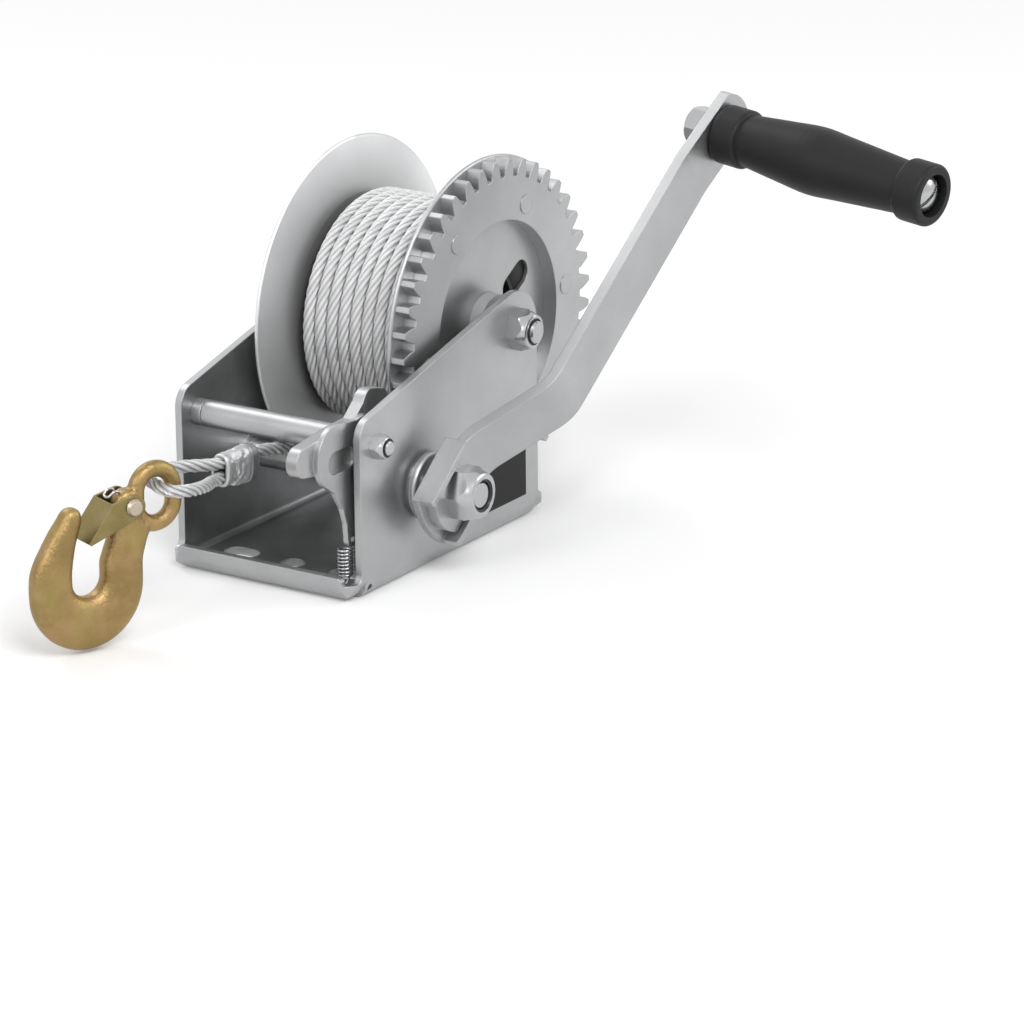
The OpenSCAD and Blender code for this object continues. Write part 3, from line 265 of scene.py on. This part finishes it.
def yellowPlated(name, spec):
    material, n = newMaterial(name)
    where = objectPlace(n)
    pattern = goldPattern
    cloud = noise(n, where, *pattern["cloud"])
    blush = noise(n, where, *pattern["blush"]).within(*pattern["blushBand"])
    pits = noise(n, where, *pattern["pits"])
    green = noise(n, stretched(n, where, pattern["greenStretch"]), *pattern["green"])
    green = green.within(*pattern["greenBand"])
    patches = cloud.within(*pattern["cloudBand"])
    share = pattern["cloudTone"]
    tone = (patches * share + pits * (1 - share)).mix(spec["low"], spec["high"])
    tone = (blush * pattern["blushShare"]).mix(tone, spec["blush"])
    tone = (green * pattern["greenShare"]).mix(tone, spec["green"])
    even = spec["rough"] - (pattern["cloudRough"] + pattern["pitsRough"]) / 2
    height = pits + cloud * pattern["cloudHeight"]
    close(n, {
        "Base Color": tone,
        "Metallic": pattern["metal"],
        "Roughness": cloud * pattern["cloudRough"] + pits * pattern["pitsRough"] + even,
        "Normal": bump(n, height, spec["pits"], pattern["depth"], pattern["edge"]),
    })
    return material


ropeFinish = {
    # painted light and shade: the wound rope is a lighter copy and the free rope a darker copy of one wire
    # rope
    "free": {"low": (0.09, 0.09, 0.095), "high": (0.74, 0.745, 0.75), "metal": 0.75},
    "wound": {"low": (0.26, 0.26, 0.27), "high": (0.97, 0.975, 0.98), "metal": 0.3},
}


# pattern of wire rope: fine wires across the strands with dark seams, painted shade in the grooves between
# strands, painted highlight on their crowns, and a cloud over all
ropePattern = {"along": 2100.0, "around": 75.4, "cloud": (160.0, 3.0), "grooveShadePower": 0.7, "grooveShadeTone": 0.72,
               "cloudTone": 0.4, "tone": 0.8, "cloudRough": 0.2, "rough": 0.3, "strength": 0.7,
               "depth": 0.0003}


def wireRopeMetal(name, spec):
    material, n = newMaterial(name)
    pattern = ropePattern
    lobe = n.put("ShaderNodeAttribute", {"attribute_name": "lobe"}, None, "Fac")
    along = n.put("ShaderNodeAttribute", {"attribute_name": "along"}, None, "Fac")
    around = n.put("ShaderNodeAttribute", {"attribute_name": "around"}, None, "Fac")
    wires = n.maths("ABSOLUTE", n.maths("SINE", along * pattern["along"] - around * pattern["around"]))
    cloud = noise(n, objectPlace(n), *pattern["cloud"])
    # painted highlight on the strand crowns and painted shade in the grooves, by the lobe, with the wires'
    # own stripes
    light = lobe ** pattern["grooveShadePower"] * pattern["grooveShadeTone"] + wires * (1 - pattern["grooveShadeTone"])
    tone = (light * (cloud * pattern["cloudTone"] + pattern["tone"])).mix(spec["low"], spec["high"])
    close(n, {
        "Base Color": tone,
        "Metallic": spec["metal"],
        "Roughness": cloud * pattern["cloudRough"] + pattern["rough"],
        "Normal": bump(n, wires, pattern["strength"], pattern["depth"]),
    })
    return material


# black and dark plastics: tones, roughness, shine, and the noise and bump of a pebbled face
plasticFinish = {
    "grip": {"low": (0.004, 0.004, 0.0045), "high": (0.009, 0.009, 0.0095), "cloud": 45.0, "vary": 0.15,
             "rough": 0.44, "shine": 0.28, "pebble": (1500.0, 2.0), "bump": (0.18, 0.00015, 0.0005)},
    "film": {"low": (0.008, 0.008, 0.009), "high": (0.02, 0.02, 0.021), "cloud": 80.0, "vary": 0.2,
             "rough": 0.4, "shine": 0.2, "pebble": (80.0, 3.0), "bump": (0.05, 0.0002)},
    "nylon": {"low": (0.012, 0.012, 0.013), "high": (0.03, 0.03, 0.032), "cloud": 200.0, "vary": 0.2,
              "rough": 0.35, "shine": 0.5},
}


def darkPlastic(name, spec):
    material, n = newMaterial(name)
    where = objectPlace(n)
    cloud = noise(n, where, spec["cloud"])
    inputs = {
        "Base Color": cloud.mix(spec["low"], spec["high"]),
        "Roughness": cloud * spec["vary"] + spec["rough"],
        "Specular IOR Level": spec["shine"],
    }
    if "pebble" in spec:
        inputs["Normal"] = bump(n, noise(n, where, *spec["pebble"]), *spec["bump"])
    close(n, inputs)
    return material


zinc = platedMetal("satinZinc", platedFinish["zinc"])
# the frame, with painted shade on its inside
frameZincShadedInside = platedMetal("frameZincShadedInside", platedFinish["zinc"], paintedShadeRoom)
# far flange: zinc brightened as painted light, with painted shade towards the rope
flangeZinc = platedMetal("flangeZinc", platedFinish["flange"], ring=paintedShadeRing)
hubZinc = platedMetal("hubZinc", platedFinish["dull"])
bright = platedMetal("brightZinc", platedFinish["bright"])
pressed = platedMetal("pressedMetal", platedFinish["pressed"])
band = platedMetal("bandMetal", platedFinish["band"])
dark = platedMetal("oiledSteel", platedFinish["dark"])
shade = platedMetal("paintedShadeMetal", platedFinish["shade"])
hookGold = yellowPlated("hookGold", goldFinish["hook"])
latchGold = yellowPlated("latchGold", goldFinish["latch"])
rivetGold = yellowPlated("rivetGold", goldFinish["rivet"])
shadedFreeMetal = wireRopeMetal("shadedWireRope", ropeFinish["free"])
litWoundMetal = wireRopeMetal("litWoundRope", ropeFinish["wound"])
gripBlack = darkPlastic("gripBlack", plasticFinish["grip"])
filmBlack = darkPlastic("filmBlack", plasticFinish["film"])
nylonDark = darkPlastic("nylonDark", plasticFinish["nylon"])
print("finishes made")


finishOf = {
    zinc: ("spacer_tube", "spacer_collar", "near_flange", "drum_gear", "drive_bracket", "crank_arm",
           "pawl", "near_shaft_bush", "far_shaft_bush", "gear_rivets"),
    frameZincShadedInside: ("frame",),
    flangeZinc: ("far_flange",),
    hubZinc: ("drum_hub",),
    bright: ("axle_bolt", "axle_nut", "spacer_bolt", "spacer_nut", "drive_shaft",
             "crank_nut", "grip_bolt", "grip_nut"),
    rivetGold: ("latch_rivet",),
    shade: ("drum_barrel",),
    dark: ("axle_sleeve", "drum_spacers", "pawl_bush", "pinion", "shaft_clip", "rope_clamp",
           "clamp_screws"),
    latchGold: ("hook_latch",),
    gripBlack: ("grip",),
    filmBlack: ("label_plate",),
    nylonDark: ("frame_nut_inserts", "crank_nut_insert"),
}
for finish, names in finishOf.items():
    for name in names:
        mesh = cadNodes[name].data
        mesh.materials.clear()
        mesh.materials.append(finish)


# laid wire along a path: a lobed section that twists as it goes, for ropes and springs
def laidWireTree():
    tree = bpy.data.node_groups.new("laidWire", "GeometryNodeTree")
    face = tree.interface
    face.new_socket("Path", in_out="INPUT", socket_type="NodeSocketGeometry")
    for name in ("Radius", "Lay", "Step", "Groove"):
        face.new_socket(name, in_out="INPUT", socket_type="NodeSocketFloat")
    for name in ("Strands", "Sides"):
        face.new_socket(name, in_out="INPUT", socket_type="NodeSocketInt")
    face.new_socket("Finish", in_out="INPUT", socket_type="NodeSocketMaterial")
    face.new_socket("Wire", in_out="OUTPUT", socket_type="NodeSocketGeometry")
    n = Sock(tree)
    entry = tree.nodes.new("NodeGroupInput")
    given = {s.name: Sock(tree, s) for s in entry.outputs if s.name}
    line = n.put("GeometryNodeResampleCurve", {"mode": "LENGTH"},
                 {"Curve": given["Path"], "Length": given["Step"]})
    length = n.put("GeometryNodeSplineParameter", None, None, "Length")
    twist = length / given["Lay"] * (2 * math.pi)
    line = n.put("GeometryNodeSetCurveTilt", None, {"Curve": line, "Tilt": twist})
    line = n.put("GeometryNodeStoreNamedAttribute", {"data_type": "FLOAT", "domain": "POINT"},
                 {"Geometry": line, "Name": "along", "Value": length})
    ring = n.put("GeometryNodeCurvePrimitiveCircle", None, {"Resolution": given["Sides"], "Radius": 1.0})
    part = n.put("GeometryNodeSplineParameter", None, None, "Factor")
    lobe = n.maths("ABSOLUTE", n.maths("COSINE", part * given["Strands"] * math.pi))
    reach = given["Radius"] - given["Groove"] * (1.0 - lobe)
    spoke = n.put("GeometryNodeInputPosition")
    spread = n.put("ShaderNodeVectorMath", {"operation": "SCALE"}, {0: spoke, "Scale": reach})
    ring = n.put("GeometryNodeStoreNamedAttribute", {"data_type": "FLOAT", "domain": "POINT"},
                 {"Geometry": ring, "Name": "lobe", "Value": lobe})
    ring = n.put("GeometryNodeStoreNamedAttribute", {"data_type": "FLOAT", "domain": "POINT"},
                 {"Geometry": ring, "Name": "around", "Value": part})
    ring = n.put("GeometryNodeSetPosition", None, {"Geometry": ring, "Position": spread})
    wire = n.put("GeometryNodeCurveToMesh", None, {"Curve": line, "Profile Curve": ring, "Fill Caps": True})
    wire = n.put("GeometryNodeSetShadeSmooth", None, {"Geometry": wire})
    wire = n.put("GeometryNodeRealizeInstances", None, {"Geometry": wire})
    wire = n.put("GeometryNodeSetMaterial", None, {"Geometry": wire, "Material": given["Finish"]})
    leave = tree.nodes.new("NodeGroupOutput")
    tree.links.new(wire.socket, leave.inputs["Wire"])
    return tree


laidWire = laidWireTree()


def wireAlong(name, points, inputs):
    data = bpy.data.curves.new(name + "Path", "CURVE")
    data.dimensions = "3D"
    spline = data.splines.new("POLY")
    spline.points.add(len(points) - 1)
    for spot, point in zip(spline.points, points):
        spot.co = (*point, 1.0)
    path = bpy.data.objects.new(name + "Path", data)
    scene.collection.objects.link(path)
    modifier = path.modifiers.new("laidWire", "NODES")
    modifier.node_group = laidWire
    for item in laidWire.interface.items_tree:
        if item.in_out == "INPUT" and item.name in inputs:
            modifier[item.identifier] = inputs[item.name]
    bpy.context.view_layer.update()
    graph = bpy.context.evaluated_depsgraph_get()
    mesh = bpy.data.meshes.new_from_object(path.evaluated_get(graph), depsgraph=graph)
    bpy.data.objects.remove(path)
    mesh.name = name
    piece = bpy.data.objects.new(name, mesh)
    scene.collection.objects.link(piece)
    return piece


# curve through given points, as the part's source draws it
def through(points, steps):
    line = []
    for i in range(len(points) - 1):
        a, b = Vector(points[max(i - 1, 0)]), Vector(points[i])
        c, d = Vector(points[i + 1]), Vector(points[min(i + 2, len(points) - 1)])
        for s in range(steps):
            t = s / steps
            line.append(0.5 * (2 * b + (c - a) * t + (2 * a - 5 * b + 4 * c - d) * t * t
                               + (3 * b - a - 3 * c + d) * t ** 3))
    line.append(Vector(points[-1]))
    return line


def lengthOf(line):
    return sum((b - a).length for a, b in zip(line, line[1:]))


ropeSpec = {"Radius": 2.25 * mm, "Lay": 25 * mm, "Step": 0.9 * mm, "Groove": 0.62 * mm, "Strands": 6,
            "Sides": 24, "Finish": shadedFreeMetal}
freeRoute = [
    (58, 0, 31), (50, 0, 28.7), (41.5, 0, 27.8), (32, 0, 28.8), (8, 0, 34), (-16, 0, 39.2), (-40, 0, 44.4),
    (-50, 0, 46.6), (-58, 0, 48.3), (-70, 0, 49.3), (-82, 0, 50.2), (-88, 1.6, 51), (-95, 5, 52),
    (-103, 8, 52.7), (-109.5, 9, 53.3), (-114.5, 7.6, 53.7), (-116.6, 3.6, 53.2),
    (-118, 0, 52.8), (-119.4, -3.6, 52.4),
    (-118.4, -8.2, 52), (-113.6, -10, 51.2), (-106, -8.6, 49.6), (-98, -5.8, 47.9), (-90, -2, 46.2),
    (-82, 0, 45.1), (-75, 0, 44.6), (-68, 0, 44.05),
]
routeSteps = 12
freeLine = [p * mm for p in through(freeRoute, routeSteps)]
freeRope = wireAlong("freeRope", freeLine, ropeSpec)

# ferrule pressed round the two strands: a dented sleeve with a lip in front and a dark band behind
ferruleSpec = {"middle": (-73.7, 0.0, 47.0), "length": 17.4, "tilt": 4.6, "outer": (4.1, 6.5),
               "bore": (2.35, 4.75), "square": 2.6, "band": 0.74, "rings": 96, "sides": 96,
               "swell": ((0.0, 0.84), (0.05, 0.9), (0.22, 0.88), (0.5, 1.0), (0.7, 1.02), (0.75, 0.98),
                         (0.79, 1.04), (0.95, 1.04), (1.0, 0.98)),
               "creases": ((3, 5.0, 0.0, 0.066), (4, -7.0, 1.3, 0.0396)),
               "folds": ((0.28, 0.12), (0.7, 0.07), (1.5, 0.025))}


def between(stops, t):
    for (t0, v0), (t1, v1) in zip(stops, stops[1:]):
        if t <= t1:
            part = (t - t0) / (t1 - t0)
            return v0 + (v1 - v0) * part * part * (3 - 2 * part)
    return stops[-1][1]


def ferrulePoint(spec, t, turn, halves, scale=1.0):
    power = 2 / spec["square"]
    c, s = math.cos(turn), math.sin(turn)
    y = halves[0] * scale * math.copysign(abs(c) ** power, c)
    z = halves[1] * scale * math.copysign(abs(s) ** power, s)
    x = (t - 0.5) * spec["length"]
    tilt = math.radians(spec["tilt"])
    middle = spec["middle"]
    return Vector((middle[0] + x * math.cos(tilt) + z * math.sin(tilt), middle[1] + y,
                   middle[2] - x * math.sin(tilt) + z * math.cos(tilt))) * mm


def pressedBy(spec, t, turn):
    return sum(depth * max(0.0, math.sin(count * turn + slant * t + start))
               for count, slant, start, depth in spec["creases"])


def foldsAt(spec, place):
    return sum(height * mathutils.noise.noise(place * often) for often, height in spec["folds"])


def ferruleLoops(spec):
    loops = []
    for i in range(spec["rings"] + 1):
        t = i / spec["rings"]
        fade = math.sin(math.pi * min(t / spec["band"], 1.0))
        ring = []
        for k in range(spec["sides"]):
            turn = 2 * math.pi * k / spec["sides"]
            plain = ferrulePoint(spec, t, turn, spec["outer"]) / mm
            dent = fade * (pressedBy(spec, t, turn) - foldsAt(spec, plain))
            scale = between(spec["swell"], t) * (1 - dent)
            ring.append(ferrulePoint(spec, t, turn, spec["outer"], scale))
        loops.append(ring)
    for i in range(spec["rings"], -1, -1):
        t = i / spec["rings"]
        loops.append([ferrulePoint(spec, t, 2 * math.pi * k / spec["sides"], spec["bore"])
                      for k in range(spec["sides"])])
    return loops


def addLoops(bm, loops, finishAt, capped=False):
    rings = [[bm.verts.new(p) for p in loop] for loop in loops]
    count = len(rings)
    for i in range(count - 1 if capped else count):
        a, b = rings[i], rings[(i + 1) % count]
        for k in range(len(a)):
            m = (k + 1) % len(a)
            face = bm.faces.new((a[k], a[m], b[m], b[k]))
            face.material_index = finishAt(i)
            face.smooth = True
    if capped:
        bm.faces.new(rings[0])
        bm.faces.new(rings[-1])


def closedLoops(name, loops, finishes, finishAt):
    bm = bmesh.new()
    addLoops(bm, loops, finishAt)
    bmesh.ops.recalc_face_normals(bm, faces=bm.faces[:])
    mesh = bpy.data.meshes.new(name)
    bm.to_mesh(mesh)
    bm.free()
    for finish in finishes:
        mesh.materials.append(finish)
    piece = bpy.data.objects.new(name, mesh)
    scene.collection.objects.link(piece)
    return piece


pressedFerrule = closedLoops(
    "pressedFerrule", ferruleLoops(ferruleSpec), (pressed, band),
    lambda i: 1 if ferruleSpec["band"] <= i / ferruleSpec["rings"] <= 1.0 else 0)
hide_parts("ferrule")
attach(pressedFerrule, "frame")
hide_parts("rope_free")
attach(freeRope, "frame")
lengthOf(freeLine)
2 * ropeSpec["Radius"]
print("free rope laid:", round(lengthOf(freeLine), 3), "m")


windSpec = {"axle": (41.6, 72.3), "radius": 39.75, "pitch": 4.95, "start": 24.3, "end": -21.7, "steps": 96,
            "dive": 14, "drop": 4.6}


def windingLine(spec):
    turns = (spec["start"] - spec["end"]) / spec["pitch"]
    count = int(turns * spec["steps"])
    line = []
    for i in range(count + 1):
        turn = -2 * math.pi * i / spec["steps"]
        # each end dips under the outer layer
        sunk = between(((0.0, spec["drop"]), (spec["dive"], 0.0)), min(i, count - i))
        radius = spec["radius"] - sunk
        line.append(Vector((spec["axle"][0] + radius * math.cos(turn),
                            spec["start"] - spec["pitch"] * i / spec["steps"],
                            spec["axle"][1] + radius * math.sin(turn))))
    return [p * mm for p in line]


winding = wireAlong("ropeWinding", windingLine(windSpec), {**ropeSpec, "Finish": litWoundMetal})
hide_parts("rope_winding")
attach(winding, "drum")


# buried layer of rope, as ridges round the drum that show in the gaps of the outer layer, coloured
# near-black as painted shade
underSpec = {"radius": 36.2, "ridge": 1.0, "inner": 21.1, "near": -24.3, "far": 27.0, "rows": 160,
             "segments": 96}


def buriedRope(spec):
    cx, cz = windSpec["axle"]
    rows = []
    for i in range(spec["rows"] + 1):
        y = spec["near"] + (spec["far"] - spec["near"]) * i / spec["rows"]
        wave = abs(math.sin(math.pi * (y - windSpec["start"]) / windSpec["pitch"]))
        rows.append((spec["radius"] - spec["ridge"] * (1 - wave), y))
    rows = [(spec["inner"], spec["near"])] + rows + [(spec["inner"], spec["far"])]
    loops = []
    for r, y in rows:
        turns = [2 * math.pi * k / spec["segments"] for k in range(spec["segments"])]
        loops.append([Vector((cx + r * math.cos(t), y, cz + r * math.sin(t))) * mm for t in turns])
    return closedLoops("ropeBuried", loops, (shade,), lambda i: 0)


buried = buriedRope(underSpec)
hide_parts("rope_core")
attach(buried, "drum")
print("drum wound")


# springs of plain wire
wireSpec = {"Radius": 0.4 * mm, "Lay": 1.0, "Step": 0.25 * mm, "Groove": 0.0, "Strands": 6, "Sides": 10,
            "Finish": bright}
pawlSpring = {"x": -53.0, "y": -30.4, "low": 7.0, "pitch": 1.28, "turns": 8, "radius": 2.6, "steps": 24}


def pawlSpringLine(spec):
    x, y, low = spec["x"], spec["y"], spec["low"]
    high = low + spec["pitch"] * spec["turns"]
    coil = []
    for i in range(spec["turns"] * spec["steps"] + 1):
        turn = 2 * math.pi * i / spec["steps"]
        coil.append((x + spec["radius"] * math.cos(turn), y + spec["radius"] * math.sin(turn),
                     low + spec["pitch"] * i / spec["steps"]))
    foot = [(x, y, 1.0), (x, y, 3.4), (x + 1.3, y - 0.3, 5.4), coil[0]]
    head = [coil[-1], (x + 1.4, y - 0.1, high + 1.5), (x, y, high + 2.6)]
    return [p * mm for p in through(foot, 6)[:-1] + [Vector(c) for c in coil] + through(head, 6)[1:]]


springPiece = wireAlong("pawlSpring", pawlSpringLine(pawlSpring), wireSpec)
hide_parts("pawl_spring")
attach(springPiece, "frame")

hookSpec = {"eye": (-118.0, 0.0, 49.2), "turn": 22.0, "rivet": (-12.4, -0.3)}


def hookPlace(h, n, v):
    turn = math.radians(-hookSpec["turn"])
    return Vector((hookSpec["eye"][0] + h * math.cos(turn) - n * math.sin(turn),
                   h * math.sin(turn) + n * math.cos(turn), hookSpec["eye"][2] + v)) * mm


latchRoute = [(-2.6, -1.6, 3.6), (-3.4, -1.8, 5), (-5.2, -2, 5.2), (-6.8, -1.6, 3.9), (-7.2, 0, 3.5),
              (-6.8, 1.6, 3.9), (-5.2, 2, 5.2), (-3.4, 1.8, 5), (-2.6, 1.6, 3.6)]
latchLine = [hookPlace(p[0] + hookSpec["rivet"][0], p[1], p[2] + hookSpec["rivet"][1])
             for p in through(latchRoute, 8)]
latchWire = wireAlong("latchWire", latchLine, {**wireSpec, "Radius": 0.45 * mm})
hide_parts("latch_spring")
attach(latchWire, "hook")
print("springs wound")


# forged hook in its own plane: sections from the tip round the bowl to the neck, each with its inner edge,
# outer edge and thickness, and a ring for the long eye, run together into one surface
forgeSpec = {
    "tip": [((-32.3, 2.1), (-34.7, 2.1), 2.5), ((-30.4, 0.8), (-36.2, 1.0), 6.2),
            ((-29.8, -2.2), (-38.4, -2.0), 7.6), ((-30.8, -5.4), (-41.0, -5.2), 8.3),
            ((-32.3, -10.0), (-44.2, -10.0), 8.8),
            ((-33.4, -15.0), (-47.2, -15.0), 9.4), ((-34.1, -19.5), (-49.0, -20.0), 9.9)],
    "bowl": {"middle": (-28.2, -23.7), "drop": 3.4, "inner": 6.0, "outer": 21.1, "thick": 10.0, "steps": 14},
    "neck": [((-22.1, -19.5), (-7.0, -20.5), 10.0), ((-20.9, -16.0), (-6.0, -16.5), 9.8),
             ((-19.4, -12.0), (-4.6, -12.6), 9.4), ((-18.4, -7.6), (-3.2, -9.8), 8.9),
             ((-17.5, -3.4), (-5.6, -7.6), 8.5), ((-17.3, 0.2), (-7.4, -3.2), 8.1),
             ((-15.8, 3.4), (-8.0, 1.4), 7.4), ((-13.4, 4.7), (-9.6, 4.2), 5.4)],
    "eye": {"h": -0.9, "rise": 2.3, "radius": 7.2, "ring": 2.9, "steps": 48},
    "square": 2.5, "sides": 32, "between": 4, "voxel": 0.5 * mm, "passes": 7, "factor": 0.5,
}


def hookSections(spec):
    bowl = spec["bowl"]
    sections = list(spec["tip"])
    for i in range(bowl["steps"] + 1):
        turn = math.pi * (1 + i / bowl["steps"])
        h, v = bowl["middle"]
        c, s = math.cos(turn), math.sin(turn)
        sections.append(((h + bowl["inner"] * c, v + bowl["inner"] * s),
                         (h + bowl["outer"] * c, v - bowl["drop"] + bowl["outer"] * s), bowl["thick"]))
    sections += spec["neck"]
    inside = [(*inner, thick) for inner, outer, thick in sections]
    outside = [(*outer, thick) for inner, outer, thick in sections]
    return list(zip(through(inside, spec["between"]), through(outside, spec["between"])))


def sectionLoop(inner, outer, spec):
    power = 2 / spec["square"]
    middle = (inner + outer) / 2
    half = (outer - inner) / 2
    loop = []
    for k in range(spec["sides"]):
        turn = 2 * math.pi * k / spec["sides"]
        c, s = math.cos(turn), math.sin(turn)
        across = math.copysign(abs(c) ** power, c)
        side = math.copysign(abs(s) ** power, s) * middle[2] / 2
        loop.append(hookPlace(middle[0] + half[0] * across, side, middle[1] + half[1] * across))
    return loop


def eyeLoops(eye, sides):
    loops = []
    for i in range(eye["steps"]):
        turn = 2 * math.pi * (i + 0.5) / eye["steps"]
        lift = math.copysign(eye["rise"], math.sin(turn))
        loop = []
        for k in range(sides):
            spin = 2 * math.pi * k / sides
            reach = eye["radius"] + eye["ring"] * math.cos(spin)
            loop.append(hookPlace(eye["h"] + reach * math.cos(turn), eye["ring"] * math.sin(spin),
                                  lift + reach * math.sin(turn)))
        loops.append(loop)
    return loops


def forgedPiece(name, spec, finish):
    bm = bmesh.new()
    addLoops(bm, [sectionLoop(a, b, spec) for a, b in hookSections(spec)], lambda i: 0, capped=True)
    addLoops(bm, eyeLoops(spec["eye"], spec["sides"]), lambda i: 0)
    bmesh.ops.recalc_face_normals(bm, faces=bm.faces[:])
    mesh = bpy.data.meshes.new(name)
    bm.to_mesh(mesh)
    bm.free()
    piece = bpy.data.objects.new(name, mesh)
    scene.collection.objects.link(piece)
    remesh = piece.modifiers.new("even", "REMESH")
    remesh.mode = "VOXEL"
    remesh.voxel_size = spec["voxel"]
    soften = piece.modifiers.new("soften", "SMOOTH")
    soften.iterations = spec["passes"]
    soften.factor = spec["factor"]
    graph = bpy.context.evaluated_depsgraph_get()
    forged = bpy.data.meshes.new_from_object(piece.evaluated_get(graph), depsgraph=graph)
    piece.modifiers.clear()
    piece.data = forged
    forged.name = name
    for face in forged.polygons:
        face.use_smooth = True
    forged.materials.clear()
    forged.materials.append(finish)
    return piece


forgedHook = forgedPiece("forgedHook", forgeSpec, hookGold)
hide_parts("hook")
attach(forgedHook, "hook")
print("hook forged:", len(forgedHook.data.polygons), "faces")


# pale floor, soft lamps and a white surround
stageSpec = {"floor": 6.0, "tone": (0.82, 0.82, 0.82, 1.0), "white": (1.0, 1.0, 1.0, 1.0), "surround": 0.55,
             "lift": 0.09, "aim": (0.0, 0.0, 0.06)}
lampSpec = [
    {"name": "keyLamp", "place": (-0.9, -1.3, 1.6), "size": 1.1, "power": 26.0},
    {"name": "leftLamp", "place": (-1.7, 0.2, 1.0), "size": 1.0, "power": 9.0},
    {"name": "fillLamp", "place": (1.2, -1.2, 0.9), "size": 1.2, "power": 9.0},
    {"name": "backLamp", "place": (0.3, 1.3, 1.4), "size": 1.0, "power": 8.0},
]


def seenDirectly(n):
    rays = [n.put("ShaderNodeLightPath", None, None, name)
            for name in ("Is Camera Ray", "Is Glossy Ray", "Is Transmission Ray")]
    return n.maths("MINIMUM", rays[0] + rays[1] + rays[2], 1.0)


def addStage(spec):
    world = bpy.data.worlds.new("surround")
    world.use_nodes = True
    world.node_tree.nodes.clear()
    n = Sock(world.node_tree)
    strength = seenDirectly(n) * (1.0 - spec["surround"]) + spec["surround"]
    light = n.put("ShaderNodeBackground", None, {"Color": spec["white"], "Strength": strength})
    n.put("ShaderNodeOutputWorld", None, {"Surface": light})
    scene.world = world
    material, n = newMaterial("paleFloor")
    base = n.put("ShaderNodeBsdfDiffuse", None, {"Color": spec["tone"]})
    glow = n.put("ShaderNodeEmission", None,
                 {"Color": spec["white"], "Strength": seenDirectly(n) * spec["lift"]})
    both = n.put("ShaderNodeAddShader", None, {0: base, 1: glow})
    n.put("ShaderNodeOutputMaterial", None, {"Surface": both})
    half = spec["floor"] / 2
    mesh = bpy.data.meshes.new("floor")
    corners = [(-half, -half, 0), (half, -half, 0), (half, half, 0), (-half, half, 0)]
    mesh.from_pydata(corners, [], [(0, 1, 2, 3)])
    mesh.materials.append(material)
    floor = bpy.data.objects.new("floor", mesh)
    scene.collection.objects.link(floor)


def addLamps(specs):
    aim = Vector(stageSpec["aim"])
    for spec in specs:
        data = bpy.data.lights.new(spec["name"], "AREA")
        data.energy = spec["power"]
        data.shape = "DISK"
        data.size = spec["size"]
        lamp = bpy.data.objects.new(spec["name"], data)
        scene.collection.objects.link(lamp)
        place = Vector(spec["place"])
        lamp.location = place
        lamp.rotation_euler = (aim - place).to_track_quat("-Z", "Y").to_euler()


addStage(stageSpec)
addLamps(lampSpec)
scene.view_settings.view_transform = "Standard"
print("stage lit")
